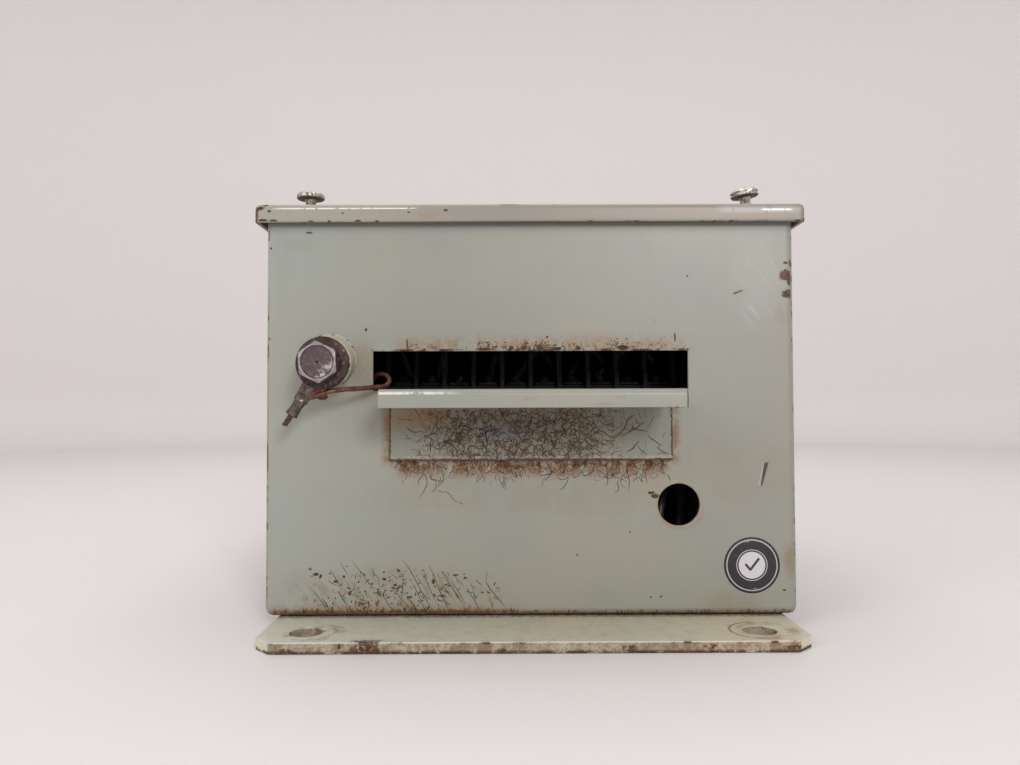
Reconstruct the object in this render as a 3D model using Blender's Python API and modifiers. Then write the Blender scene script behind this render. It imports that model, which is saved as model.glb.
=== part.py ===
"""Breaker panel box: a surface-mounted sheet-steel box that lies on its mounting bars, cover uppermost.

The frame: origin at the centre of the mounting plane, +Z out of that plane towards the cover,
-Y towards the cable entry, X across the box. All sizes are in metres.
Run with: blender --background --python part.py
"""

import math

import bmesh
import bpy
from mathutils import Matrix, Vector

# Driving dimensions
BODY_WIDTH = 0.202
BODY_LENGTH = 0.222
SHEET = 0.0016
COVER_TOP_Z = 0.1604
BODY_BEND_RADIUS = 0.0032
COVER_BEND_RADIUS = 0.0022
FIT_GAP = 0.0003

BAR_THICKNESS = 0.004
BAR_WIDTH = 0.192
BAR_OVERHANG = 0.0315
BAR_UNDERLAP = 0.0285
BAR_CHAMFER = 0.0062
BAR_HOLE_DIAMETER = 0.012
BAR_HOLE_SPACING = 0.160
BAR_HOLE_FROM_BODY = 0.019

SLOT_WIDTH = 0.120
SLOT_LOW_Z = 0.0895
SLOT_HIGH_Z = 0.1045
CABLE_HOLE_DIAMETER = 0.016
CABLE_HOLE_X = 0.056
CABLE_HOLE_Z = 0.046

SUPPORT_WIDTH = 0.107
SUPPORT_FOOT_Z = 0.063
SUPPORT_REACH = 0.029
SUPPORT_LIP = 0.0066
SUPPORT_BEND_RADIUS = 0.0022

COVER_OVERHANG = 0.0035
COVER_LIP = 0.0071
COVER_SCREW_X = 0.087
COVER_SCREW_Y = BODY_LENGTH / 2 - 0.013
COVER_HOLE_DIAMETER = 0.0066

BRACKET_SHELF_Z = 0.1495
BRACKET_SHEET = 0.002
BRACKET_LEG = 0.016
BRACKET_HALF_LENGTH = 0.0098
BRACKET_INNER_EDGE_X = COVER_SCREW_X - 0.010
NUT_ACROSS_CORNERS = 0.0115
NUT_HEIGHT = 0.0042
NUT_BORE_DIAMETER = 0.0066

TRAY_TOP_Z = 0.082
TRAY_SHEET = 0.002
TRAY_HALF_WIDTH = 0.0765
TRAY_FOOT = 0.016
TRAY_FRONT_Y = -0.096
TRAY_REAR_Y = 0.086
TRAY_SCREW_Y = 0.060
TRAY_SCREW_OUT = 0.0085
TRAY_SCREW_HOLE_DIAMETER = 0.0056
TRAY_BEND_RADIUS = 0.003
GROMMET_X = 0.067
GROMMET_Y = -0.0345
GROMMET_HOLE_DIAMETER = 0.0112
INNER_EARTH = (-0.0700, -0.0890)
INNER_EARTH_HOLE_DIAMETER = 0.0046

POLE_COUNT = 10
POLE_PITCH = 0.012
BLOCK_X = 0.001
BLOCK_Y = -0.061
BLOCK_BASE_HEIGHT = 0.010
BLOCK_HALF_DEPTH = 0.017
BLOCK_EAR = 0.009
BLOCK_FIXING_DIAMETER = 0.0045
BARRIER_THICKNESS = 0.0018
TERMINAL_SCREW_Y = 0.0095
TERMINAL_SCREW_DIAMETER = 0.0072
TERMINAL_STRIP_Z = BLOCK_BASE_HEIGHT + FIT_GAP
TERMINAL_WIRE_START = 0.0154

BREAKER_COUNT = 3
BREAKER_PITCH = 0.0503
BREAKER_WIDTH = 0.050
BREAKER_LENGTH = 0.096
BREAKER_BASE_HEIGHT = 0.034
BREAKER_COVER_HEIGHT = 0.018
BREAKER_Y = 0.022
BREAKER_POLE_OFFSET = 0.0125
BREAKER_END_HEIGHT = 0.012
BREAKER_RAISED_HALF = 0.028
BREAKER_RECESS_HALF_WIDTH = 0.0065
BREAKER_RECESS_DEPTH = 0.012
BREAKER_RECESS_LOW_Z = 0.0137
BREAKER_RECESS_HIGH_Z = 0.0277
BREAKER_ACCESS_DIAMETER = 0.0066
BREAKER_ACCESS_IN = 0.006
TOGGLE_PIVOT_Z = TRAY_TOP_Z + 0.040
TOGGLE_DRUM_RADIUS = 0.0085
TOGGLE_REACH = 0.024
TOGGLE_WIDTH = 0.020
TOGGLE_SIDE_GAP = 0.0006
TOGGLE_ON_ANGLE = math.radians(22)
BUSBAR_LEFT_X = -0.066
BUSBAR_RIGHT_X = 0.073
BUSBAR_LOW_Z = (0.098, 0.1056)
BUSBAR_HEIGHT = 0.005
BUSBAR_THICKNESS = 0.002

EARTH_X = -0.0751
EARTH_Z = 0.0991
EARTH_BOSS_DIAMETER = 0.0192
EARTH_BOSS_LENGTH = 0.013
BOLT_DIAMETER = 0.008
BOLT_ACROSS_FLATS = 0.013
BOLT_HEAD_HEIGHT = 0.0053
BOLT_LENGTH = 0.016
BOLT_HEX_TURN = math.radians(34)
BOLT_FACE_RADIUS = 0.0062
BOLT_CHAMFER_ANGLE = math.radians(29)
EARTH_CLEARANCE = 0.0005
FLAT_WASHER_DIAMETER = 0.018
SPRING_WASHER_DIAMETER = 0.0136
LUG_RING_DIAMETER = 0.0146
LUG_DIRECTION = math.radians(-123)
EARTH_WIRE_DIAMETER = 0.0018
LOAD_WIRE_DIAMETER = 0.0026
SUPPLY_WIRE_DIAMETER = 0.0034

# Distances out of the entry face of the pieces stacked on the earth bolt
LUG_FROM = EARTH_BOSS_LENGTH + FIT_GAP
LUG_TO = LUG_FROM + 0.0012
WIRE_CENTRE = LUG_TO + FIT_GAP + EARTH_WIRE_DIAMETER / 2
FLAT_WASHER_FROM = WIRE_CENTRE + EARTH_WIRE_DIAMETER / 2 + FIT_GAP
FLAT_WASHER_TO = FLAT_WASHER_FROM + 0.0016
SPRING_WASHER_FROM = FLAT_WASHER_TO + FIT_GAP
SPRING_WASHER_TO = SPRING_WASHER_FROM + 0.002
BOLT_HEAD_FROM = SPRING_WASHER_TO + FIT_GAP

# Cover screws: a reduced neck lets the retaining washer hold each in the cover, clear of its nut
SCREW_HEAD_DIAMETER = 0.011
SCREW_HEAD_HEIGHT = 0.0024
SCREW_NECK_DIAMETER = 0.0042
SCREW_NECK_LENGTH = 0.0108
SCREW_THREAD_DIAMETER = 0.006
SCREW_THREAD_LENGTH = 0.0046
SCREW_RAISED = 0.0058
LEANING_SCREW_RAISED = 0.0069
LEANING_SCREW_ANGLE = math.radians(-7)
WASHER_DIAMETER = 0.009
WASHER_BORE = 0.0048
WASHER_THICKNESS = 0.0008

# Places worked out from the driving dimensions
FACE_Y = -BODY_LENGTH / 2
FLOOR_Z = BAR_THICKNESS + FIT_GAP
RIM_Z = COVER_TOP_Z - SHEET - FIT_GAP
INNER_X = BODY_WIDTH / 2 - SHEET
TRAY_FLOOR_Z = FLOOR_Z + SHEET + FIT_GAP
ON_TRAY_Z = TRAY_TOP_Z + FIT_GAP
BREAKER_JOINT_Z = ON_TRAY_Z + BREAKER_BASE_HEIGHT
SCREW_NAMES = ("front_left", "front_right", "rear_left", "rear_right")
SCREW_X_SIDES = (-1, 1, -1, 1)
SCREW_Y_SIDES = (-1, -1, 1, 1)


def collection(name, hidden=False):
    made = bpy.data.collections.new(name)
    bpy.context.scene.collection.children.link(made)
    made.hide_render = hidden
    return made


def clear_scene():
    for obj in list(bpy.data.objects):
        bpy.data.objects.remove(obj, do_unlink=True)


def material(name, colour, roughness, metallic=0.0):
    made = bpy.data.materials.new(name)
    made.use_nodes = True
    shader = made.node_tree.nodes["Principled BSDF"]
    shader.inputs["Base Color"].default_value = (*colour, 1.0)
    shader.inputs["Roughness"].default_value = roughness
    shader.inputs["Metallic"].default_value = metallic
    return made


clear_scene()
BOX = collection("breaker_panel_box")
CUTTERS = collection("cutters", hidden=True)
PAINT = material("sage_paint", (0.36, 0.39, 0.34), 0.45)
PLATED = material("plated_steel", (0.45, 0.43, 0.40), 0.4, 1.0)
RUSTY = material("rusty_steel", (0.16, 0.11, 0.10), 0.7, 0.6)
COPPER = material("old_copper", (0.36, 0.17, 0.11), 0.5, 0.8)
BLACK = material("black_moulding", (0.02, 0.02, 0.022), 0.5)
TOGGLE_WHITE = material("toggle_plastic", (0.75, 0.73, 0.66), 0.4)
RUBBER = material("grommet_rubber", (0.03, 0.03, 0.03), 0.8)
WIRE_GREY = material("grey_insulation", (0.30, 0.31, 0.33), 0.5)
WIRE_BLACK = material("black_insulation", (0.03, 0.03, 0.03), 0.5)


def place(obj, mat, parent=None, location=(0, 0, 0), rotation=(0, 0, 0)):
    """Links obj to the box, with a material, a place and a parent."""
    BOX.objects.link(obj)
    obj.location = location
    obj.rotation_euler = rotation
    obj.parent = parent
    if mat and not obj.data.materials:
        obj.data.materials.append(mat)
    return obj


def empty(name, location=(0, 0, 0), parent=None, rotation=(0, 0, 0)):
    return place(bpy.data.objects.new(name, None), None, parent, location, rotation)


def mesh_from(bm, name):
    bmesh.ops.recalc_face_normals(bm, faces=bm.faces)
    made = bpy.data.meshes.new(name)
    bm.to_mesh(made)
    bm.free()
    return made


def box_bmesh(low, high):
    low, high = Vector(low), Vector(high)
    bm = bmesh.new()
    matrix = Matrix.Translation((low + high) / 2) @ Matrix.Diagonal((*(high - low), 1))
    bmesh.ops.create_cube(bm, size=1, matrix=matrix)
    return bm


def box_mesh(name, low, high):
    return mesh_from(box_bmesh(low, high), name)


def cylinder_mesh(name, diameter, low_z, high_z, sides=32, turn=0.0):
    bm = bmesh.new()
    matrix = Matrix.Translation((0, 0, (low_z + high_z) / 2)) @ Matrix.Rotation(turn, 4, "Z")
    bmesh.ops.create_cone(
        bm,
        cap_ends=True,
        segments=sides,
        radius1=diameter / 2,
        radius2=diameter / 2,
        depth=high_z - low_z,
        matrix=matrix,
    )
    return mesh_from(bm, name)


def helper(mesh, location=(0, 0, 0), rotation=(0, 0, 0)):
    """A cutter, or a shape to be joined: it shapes other pieces and is no piece itself."""
    obj = bpy.data.objects.new(mesh.name, mesh)
    CUTTERS.objects.link(obj)
    obj.location = location
    obj.rotation_euler = rotation
    obj.hide_render = True
    obj.display_type = "WIRE"
    return obj


def child_helper(mesh, parent, location=(0, 0, 0), rotation=(0, 0, 0)):
    obj = helper(mesh, location, rotation)
    obj.parent = parent
    return obj


def boolean(obj, other, operation="DIFFERENCE"):
    modifier = obj.modifiers.new(operation.lower(), "BOOLEAN")
    modifier.operation = operation
    modifier.object = other
    return obj


def bevel(obj, width, segments=2, angle=30):
    modifier = obj.modifiers.new("bevel", "BEVEL")
    modifier.width = width
    modifier.segments = segments
    modifier.limit_method = "ANGLE"
    modifier.angle_limit = math.radians(angle)
    return obj


def solidify(obj, thickness, offset):
    modifier = obj.modifiers.new("sheet", "SOLIDIFY")
    modifier.thickness = thickness
    modifier.offset = offset
    modifier.use_even_offset = True
    return obj


def turned(name, profile, steps=24):
    """A turned piece from the (radius, height) points round its section, down the outer side first."""
    mesh = bpy.data.meshes.new(name)
    round_trip = [(i, (i + 1) % len(profile)) for i in range(len(profile))]
    edges = [(a, b) for a, b in round_trip if profile[a][0] > 0 or profile[b][0] > 0]
    mesh.from_pydata([(radius, 0, height) for radius, height in profile], edges, [])
    obj = bpy.data.objects.new(name, mesh)
    modifier = obj.modifiers.new("turn", "SCREW")
    modifier.steps = steps
    modifier.render_steps = steps
    modifier.use_merge_vertices = True
    modifier.merge_threshold = 0.00002
    return obj


def baked(obj, name):
    """The finished mesh of obj, with its modifiers applied, for its copies to share. obj itself goes."""
    if not obj.users_collection:
        CUTTERS.objects.link(obj)
    bpy.context.view_layer.update()
    graph = bpy.context.evaluated_depsgraph_get()
    mesh = bpy.data.meshes.new_from_object(obj.evaluated_get(graph))
    mesh.name = name
    bpy.data.objects.remove(obj)
    return mesh


def smooth(obj, angle=35):
    obj.data.shade_smooth()
    obj.data.set_sharp_from_angle(angle=math.radians(angle))
    return obj


def curve_through(route, steps):
    """Points of a Catmull-Rom spline through the route's points, steps points to each span."""
    points = [Vector(p) for p in route]
    ends = [2 * points[0] - points[1], *points, 2 * points[-1] - points[-2]]
    found = []
    for a, b, c, d in zip(ends, ends[1:], ends[2:], ends[3:]):
        for step in range(steps):
            t = step / steps
            square = (2 * a - 5 * b + 4 * c - d) * t**2
            cube = (3 * b - a - 3 * c + d) * t**3
            found.append(0.5 * (2 * b + (c - a) * t + square + cube))
    return found + [points[-1]]


def wire(name, route, diameter, mat, parent, steps=2):
    data = bpy.data.curves.new(name, "CURVE")
    data.dimensions = "3D"
    data.bevel_depth = diameter / 2
    data.bevel_resolution = 2
    data.use_fill_caps = True
    points = curve_through(route, steps)
    spline = data.splines.new("POLY")
    spline.points.add(len(points) - 1)
    for target, point in zip(spline.points, points):
        target.co = (*point, 1)
    return place(bpy.data.objects.new(name, data), mat, parent)


# The box

ENCLOSURE = empty("enclosure_frame")


def open_box(name, low, high, open_face_up, bend_radius):
    """A folded sheet box with one open side, rounded at its bends."""
    bm = box_bmesh(low, high)
    facing = 1 if open_face_up else -1
    lid = [face for face in bm.faces if face.normal.z * facing > 0.5]
    bmesh.ops.delete(bm, geom=lid, context="FACES")
    mesh = bpy.data.meshes.new(name)
    bm.to_mesh(mesh)
    bm.free()
    obj = bpy.data.objects.new(name, mesh)
    bevel(obj, bend_radius, 3)
    return solidify(obj, SHEET, -1)


def build_tub():
    low = (-BODY_WIDTH / 2, FACE_Y, FLOOR_Z)
    high = (BODY_WIDTH / 2, -FACE_Y, RIM_Z)
    tub = place(open_box("enclosure_tub", low, high, True, BODY_BEND_RADIUS), PAINT, ENCLOSURE)
    past = 2 * SHEET
    slot = box_mesh(
        "slot_cutter",
        (-SLOT_WIDTH / 2, FACE_Y - past, SLOT_LOW_Z),
        (SLOT_WIDTH / 2, FACE_Y + past, SLOT_HIGH_Z),
    )
    boolean(tub, helper(slot))
    hole = cylinder_mesh("cable_hole_cutter", CABLE_HOLE_DIAMETER, -past, past)
    boolean(tub, helper(hole, (CABLE_HOLE_X, FACE_Y, CABLE_HOLE_Z), (math.pi / 2, 0, 0)))
    floor_hole = cylinder_mesh("tray_screw_cutter", TRAY_SCREW_HOLE_DIAMETER, -past, past, 16)
    for x, y in tray_screw_places():
        boolean(tub, helper(floor_hole, (x, y, FLOOR_Z)))


def build_mounting_bar(name, side):
    """A flat bar under one end of the box. side is -1 at the cable entry and 1 at the far end."""
    outer = side * (BODY_LENGTH / 2 + BAR_OVERHANG)
    inner = side * (BODY_LENGTH / 2 - BAR_UNDERLAP)
    bm = box_bmesh(
        (-BAR_WIDTH / 2, min(outer, inner), 0),
        (BAR_WIDTH / 2, max(outer, inner), BAR_THICKNESS),
    )
    corners = [
        edge
        for edge in bm.edges
        if abs(edge.verts[0].co.z - edge.verts[1].co.z) > BAR_THICKNESS / 2
        and abs(edge.verts[0].co.y - outer) < FIT_GAP
    ]
    bmesh.ops.bevel(bm, geom=corners, offset=BAR_CHAMFER, segments=1, affect="EDGES")
    bar = place(bpy.data.objects.new(name, mesh_from(bm, name)), PAINT, ENCLOSURE)
    hole = cylinder_mesh("bar_hole_cutter", BAR_HOLE_DIAMETER, -BAR_THICKNESS, 2 * BAR_THICKNESS)
    for x in (-BAR_HOLE_SPACING / 2, BAR_HOLE_SPACING / 2):
        boolean(bar, helper(hole, (x, side * (BODY_LENGTH / 2 + BAR_HOLE_FROM_BODY), 0)))


def bent_strip(name, profile, low_x, high_x, sheet, bend_radius, segments=3):
    """A strip folded along X from its (y, z) outline. The sheet lies to the left of that outline."""
    bm = bmesh.new()
    rows = [[bm.verts.new((x, y, z)) for y, z in profile] for x in (low_x, high_x)]
    for i in range(len(profile) - 1):
        bm.faces.new((rows[0][i], rows[0][i + 1], rows[1][i + 1], rows[1][i]))
    mesh = bpy.data.meshes.new(name)
    bm.to_mesh(mesh)
    bm.free()
    obj = bpy.data.objects.new(name, mesh)
    bevel(obj, bend_radius, segments)
    return solidify(obj, sheet, -1)


def build_cable_support():
    """A bent strip: a foot welded below the slot, a shelf level with its sill, and a turned-down lip."""
    foot_y = FACE_Y - FIT_GAP
    lip_y = FACE_Y - SUPPORT_REACH
    profile = (
        (foot_y, SUPPORT_FOOT_Z),
        (foot_y, SLOT_LOW_Z),
        (lip_y, SLOT_LOW_Z),
        (lip_y, SLOT_LOW_Z - SUPPORT_LIP),
    )
    half = SUPPORT_WIDTH / 2
    support = bent_strip("cable_support", profile, -half, half, SHEET, SUPPORT_BEND_RADIUS)
    place(support, PAINT, ENCLOSURE)


def build_corner_brackets():
    """Angle brackets welded in the four top corners, each with a weld nut for its cover screw."""
    shelf_low = BRACKET_SHELF_Z - BRACKET_SHEET
    leg_low = BRACKET_SHELF_Z - BRACKET_LEG
    outer_edge = INNER_X - FIT_GAP
    leg_inside = outer_edge - BRACKET_SHEET
    profile = (
        (BRACKET_INNER_EDGE_X, BRACKET_SHELF_Z),
        (outer_edge, BRACKET_SHELF_Z),
        (outer_edge, leg_low),
        (leg_inside, leg_low),
        (leg_inside, shelf_low),
        (BRACKET_INNER_EDGE_X, shelf_low),
    )
    for name, x_side, y_side in zip(SCREW_NAMES, SCREW_X_SIDES, SCREW_Y_SIDES):
        bm = bmesh.new()
        section = [bm.verts.new((x_side * x, -BRACKET_HALF_LENGTH, z)) for x, z in profile]
        face = bm.faces.new(section)
        swept = bmesh.ops.extrude_face_region(bm, geom=[face])["geom"]
        moved = [v for v in swept if isinstance(v, bmesh.types.BMVert)]
        bmesh.ops.translate(bm, verts=moved, vec=(0, 2 * BRACKET_HALF_LENGTH, 0))
        mesh = mesh_from(bm, "corner_bracket_" + name)
        place_y = y_side * COVER_SCREW_Y
        bracket = bpy.data.objects.new("corner_bracket_" + name, mesh)
        place(bracket, PAINT, ENCLOSURE, (0, place_y, 0))
        nut_top = shelf_low + BRACKET_SHEET / 2
        nut = cylinder_mesh("nut", NUT_ACROSS_CORNERS, shelf_low - NUT_HEIGHT, nut_top, 6)
        boolean(bracket, helper(nut, (x_side * COVER_SCREW_X, place_y, 0)), "UNION")
        bore_low = shelf_low - 2 * NUT_HEIGHT
        bore = cylinder_mesh("nut_bore", NUT_BORE_DIAMETER, bore_low, COVER_TOP_Z, 24)
        boolean(bracket, helper(bore, (x_side * COVER_SCREW_X, place_y, 0)))


# The equipment tray and what stands on it


def tray_screw_places():
    x = TRAY_HALF_WIDTH + TRAY_SCREW_OUT
    return [(sx * x, sy * TRAY_SCREW_Y) for sy in (-1, 1) for sx in (-1, 1)]


def build_tray():
    """A hat-shaped tray: two feet on the floor of the box, two legs and a raised top."""
    foot = TRAY_HALF_WIDTH + TRAY_FOOT - TRAY_SHEET
    foot_z = TRAY_FLOOR_Z + TRAY_SHEET
    profile = (
        (foot, foot_z),
        (TRAY_HALF_WIDTH, foot_z),
        (TRAY_HALF_WIDTH, TRAY_TOP_Z),
        (-TRAY_HALF_WIDTH, TRAY_TOP_Z),
        (-TRAY_HALF_WIDTH, foot_z),
        (-foot, foot_z),
    )
    ends = (TRAY_FRONT_Y, TRAY_REAR_Y)
    tray = bent_strip("equipment_tray", profile, *ends, TRAY_SHEET, TRAY_BEND_RADIUS, 2)
    tray.data.transform(Matrix(((0, 1, 0, 0), (1, 0, 0, 0), (0, 0, 1, 0), (0, 0, 0, 1))))
    tray.data.flip_normals()
    place(tray, PAINT, ENCLOSURE)
    past = 2 * TRAY_SHEET
    screw_hole = cylinder_mesh("foot_cutter", TRAY_SCREW_HOLE_DIAMETER, -past, past, 16)
    for x, y in tray_screw_places():
        boolean(tray, helper(screw_hole, (x, y, TRAY_FLOOR_Z)))
    grommet_hole = cylinder_mesh("grommet_cutter", GROMMET_HOLE_DIAMETER, -past, past, 24)
    boolean(tray, helper(grommet_hole, (GROMMET_X, GROMMET_Y, TRAY_TOP_Z)))
    earth_hole = cylinder_mesh("earth_cutter", INNER_EARTH_HOLE_DIAMETER, -past, past, 16)
    boolean(tray, helper(earth_hole, (*INNER_EARTH, TRAY_TOP_Z)))


def pan_screw(name, head, head_height, shank, length, steps=16):
    """A pan-head screw whose head stands on height 0, with its rounded rim."""
    rim = 0.3 * head_height
    profile = (
        (0, head_height),
        (head / 2 - rim, head_height),
        (head / 2, head_height - rim),
        (head / 2, 0),
        (shank / 2, 0),
        (shank / 2, -length),
        (0, -length),
    )
    return turned(name, profile, steps)


def build_tray_screws():
    mesh = baked(pan_screw("tray_screw", 0.0095, 0.0033, 0.005, 0.0062), "tray_screw")
    for number, (x, y) in enumerate(tray_screw_places(), 1):
        obj = bpy.data.objects.new(f"tray_screw_{number}", mesh)
        place(obj, PLATED, ENCLOSURE, (x, y, TRAY_FLOOR_Z + TRAY_SHEET + FIT_GAP))
        smooth(obj)


def build_inner_earth_screw():
    obj = pan_screw("inner_earth_screw", 0.008, 0.0028, 0.004, 0.0064)
    eye_height = EARTH_WIRE_DIAMETER + 2 * FIT_GAP
    place(obj, PLATED, ENCLOSURE, (*INNER_EARTH, TRAY_TOP_Z + eye_height))


def build_grommet():
    """A rubber ring whose groove holds the edge of the tray's hole."""
    lip, groove, bore = 0.007, GROMMET_HOLE_DIAMETER / 2 - FIT_GAP, 0.0045
    under = -TRAY_SHEET - FIT_GAP
    profile = (
        (bore, 0.0025),
        (lip, 0.0015),
        (lip, FIT_GAP),
        (groove, FIT_GAP),
        (groove, under),
        (lip, under),
        (lip, under - 0.0012),
        (bore, under - 0.0022),
    )
    grommet = turned("tray_grommet", profile, 20)
    place(grommet, RUBBER, ENCLOSURE, (GROMMET_X, GROMMET_Y, TRAY_TOP_Z))


def pole_x(pole):
    return BLOCK_X + (pole - (POLE_COUNT - 1) / 2) * POLE_PITCH


def build_terminal_block():
    """A moulded base with a barrier each side of every pole. A barrier's lower step reaches further out."""
    half = POLE_COUNT * POLE_PITCH / 2 + BARRIER_THICKNESS / 2
    foot_half = half + BLOCK_EAR
    foot_height = 0.7 * BLOCK_BASE_HEIGHT
    foot = box_mesh(
        "terminal_block",
        (-foot_half, -BLOCK_HALF_DEPTH, 0),
        (foot_half, BLOCK_HALF_DEPTH, foot_height),
    )
    block = bpy.data.objects.new("terminal_block", foot)
    place(block, BLACK, ENCLOSURE, (BLOCK_X, BLOCK_Y, ON_TRAY_Z))
    origin = block.location
    middle_depth = BLOCK_HALF_DEPTH - 0.0005
    raised = box_mesh(
        "block_middle",
        (-half, -middle_depth, foot_height / 2),
        (half, middle_depth, BLOCK_BASE_HEIGHT),
    )
    boolean(block, helper(raised, origin), "UNION")
    barrier = barrier_mesh()
    for i in range(POLE_COUNT + 1):
        shift = Vector(((i - POLE_COUNT / 2) * POLE_PITCH, 0, 0))
        boolean(block, helper(barrier, origin + shift), "UNION")
    past = 2 * BLOCK_BASE_HEIGHT
    fixing = cylinder_mesh("block_fixing_cutter", BLOCK_FIXING_DIAMETER, -past, past, 12)
    for side in (-1, 1):
        boolean(block, helper(fixing, origin + Vector((side * (half + BLOCK_EAR / 2), 0, 0))))


def barrier_mesh():
    """One barrier's stepped outline, swept across its thickness."""
    low_reach, high_reach = 0.0200, 0.0165
    low_top, high_top = 0.0150, 0.0260
    outline = (
        (-low_reach, 0.003),
        (low_reach, 0.003),
        (low_reach, low_top),
        (high_reach, low_top),
        (high_reach, high_top),
        (-high_reach, high_top),
        (-high_reach, low_top),
        (-low_reach, low_top),
    )
    bm = bmesh.new()
    face = bm.faces.new([bm.verts.new((-BARRIER_THICKNESS / 2, y, z)) for y, z in outline])
    swept = bmesh.ops.extrude_face_region(bm, geom=[face])["geom"]
    moved = [v for v in swept if isinstance(v, bmesh.types.BMVert)]
    bmesh.ops.translate(bm, verts=moved, vec=(BARRIER_THICKNESS, 0, 0))
    return mesh_from(bm, "barrier")


def build_terminals():
    """On each pole a plated strip: the outer screw is for a cable, the inner one for the box's own wire."""
    half_strip = 0.0042
    strip_reach = 0.015
    strip = box_mesh("terminal", (-half_strip, -strip_reach, 0), (half_strip, strip_reach, 0.001))
    terminal = bpy.data.objects.new("terminal", strip)
    head = cylinder_mesh("terminal_screw", TERMINAL_SCREW_DIAMETER, 0.0005, 0.0037, 12)
    for y in (-TERMINAL_SCREW_Y, TERMINAL_SCREW_Y):
        boolean(terminal, helper(head, (0, y, 0)), "UNION")
    mesh = baked(terminal, "terminal")
    for pole in range(POLE_COUNT):
        obj = bpy.data.objects.new(f"terminal_{pole + 1:02d}", mesh)
        place(obj, PLATED, ENCLOSURE, (pole_x(pole), BLOCK_Y, ON_TRAY_Z + TERMINAL_STRIP_Z))


def breaker_pole_places():
    """(x, y) of a breaker's four wire recesses, from its middle, and the side each opens to."""
    end = BREAKER_LENGTH / 2
    return [(x, side * end, side) for side in (-1, 1) for x in (-BREAKER_POLE_OFFSET, BREAKER_POLE_OFFSET)]


def build_breaker_case():
    """The lower shell: a wire recess and a screwdriver hole at every pole, and room for the toggle's drum."""
    half_x, half_y = BREAKER_WIDTH / 2, BREAKER_LENGTH / 2
    top = BREAKER_BASE_HEIGHT
    shell = box_mesh("breaker_case", (-half_x, -half_y, 0), (half_x, half_y, top))
    case = bpy.data.objects.new("breaker_case", shell)
    recess = box_mesh(
        "recess_cutter",
        (-BREAKER_RECESS_HALF_WIDTH, -BREAKER_RECESS_DEPTH, BREAKER_RECESS_LOW_Z),
        (BREAKER_RECESS_HALF_WIDTH, BREAKER_RECESS_DEPTH, BREAKER_RECESS_HIGH_Z),
    )
    inside_recess = (BREAKER_RECESS_LOW_Z + BREAKER_RECESS_HIGH_Z) / 2
    access = cylinder_mesh("access_cutter", BREAKER_ACCESS_DIAMETER, inside_recess, 2 * top, 12)
    for x, y, side in breaker_pole_places():
        boolean(case, helper(recess, (x, y, 0)))
        boolean(case, helper(access, (x, y - side * BREAKER_ACCESS_IN, 0)))
    slot_half_width = TOGGLE_WIDTH / 2 + TOGGLE_SIDE_GAP
    drum_space = TOGGLE_DRUM_RADIUS + FIT_GAP
    drum_depth = 0.0032
    drum = box_mesh(
        "drum_cutter",
        (-slot_half_width, -drum_space, top - drum_depth),
        (slot_half_width, drum_space, 2 * top),
    )
    boolean(case, helper(drum))
    return baked(case, "breaker_case")


def build_breaker_cover():
    """The upper shell: low at its ends, over the terminal screws, and raised at the toggle."""
    half_x, half_y = BREAKER_WIDTH / 2, BREAKER_LENGTH / 2
    ends = box_mesh("breaker_cover", (-half_x, -half_y, 0), (half_x, half_y, BREAKER_END_HEIGHT))
    cover = bpy.data.objects.new("breaker_cover", ends)
    raised_half_x = half_x - 0.0005
    raised = box_mesh(
        "raised_middle",
        (-raised_half_x, -BREAKER_RAISED_HALF, BREAKER_END_HEIGHT / 2),
        (raised_half_x, BREAKER_RAISED_HALF, BREAKER_COVER_HEIGHT),
    )
    boolean(cover, helper(raised), "UNION")
    past = 2 * BREAKER_COVER_HEIGHT
    access = cylinder_mesh("cover_access_cutter", BREAKER_ACCESS_DIAMETER, -past, past, 12)
    for x, y, side in breaker_pole_places():
        boolean(cover, helper(access, (x, y - side * BREAKER_ACCESS_IN, 0)))
    slot_half_width = TOGGLE_WIDTH / 2 + TOGGLE_SIDE_GAP
    slot_half = TOGGLE_DRUM_RADIUS + FIT_GAP
    slot = box_mesh(
        "toggle_slot_cutter",
        (-slot_half_width, -slot_half, -past),
        (slot_half_width, slot_half, past),
    )
    boolean(cover, helper(slot))
    return baked(cover, "breaker_cover")


def build_toggle():
    """A drum on the X axis with the lever that stands out of it."""
    lever_base, lever_tip = 0.0032, 0.0022
    bm = bmesh.new()
    bmesh.ops.create_cone(
        bm,
        cap_ends=True,
        segments=24,
        radius1=TOGGLE_DRUM_RADIUS,
        radius2=TOGGLE_DRUM_RADIUS,
        depth=TOGGLE_WIDTH,
        matrix=Matrix.Rotation(math.pi / 2, 4, "Y"),
    )
    toggle = bpy.data.objects.new("toggle", mesh_from(bm, "toggle"))
    lever_half = TOGGLE_WIDTH / 2 - 0.001
    bm = box_bmesh((-lever_half, -lever_base, 0), (lever_half, lever_base, TOGGLE_REACH))
    for vert in bm.verts:
        if vert.co.z > TOGGLE_REACH / 2:
            vert.co.y *= lever_tip / lever_base
    boolean(toggle, helper(mesh_from(bm, "lever")), "UNION")
    bevel(toggle, 0.0006, 1, 50)
    return baked(toggle, "toggle")


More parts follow.
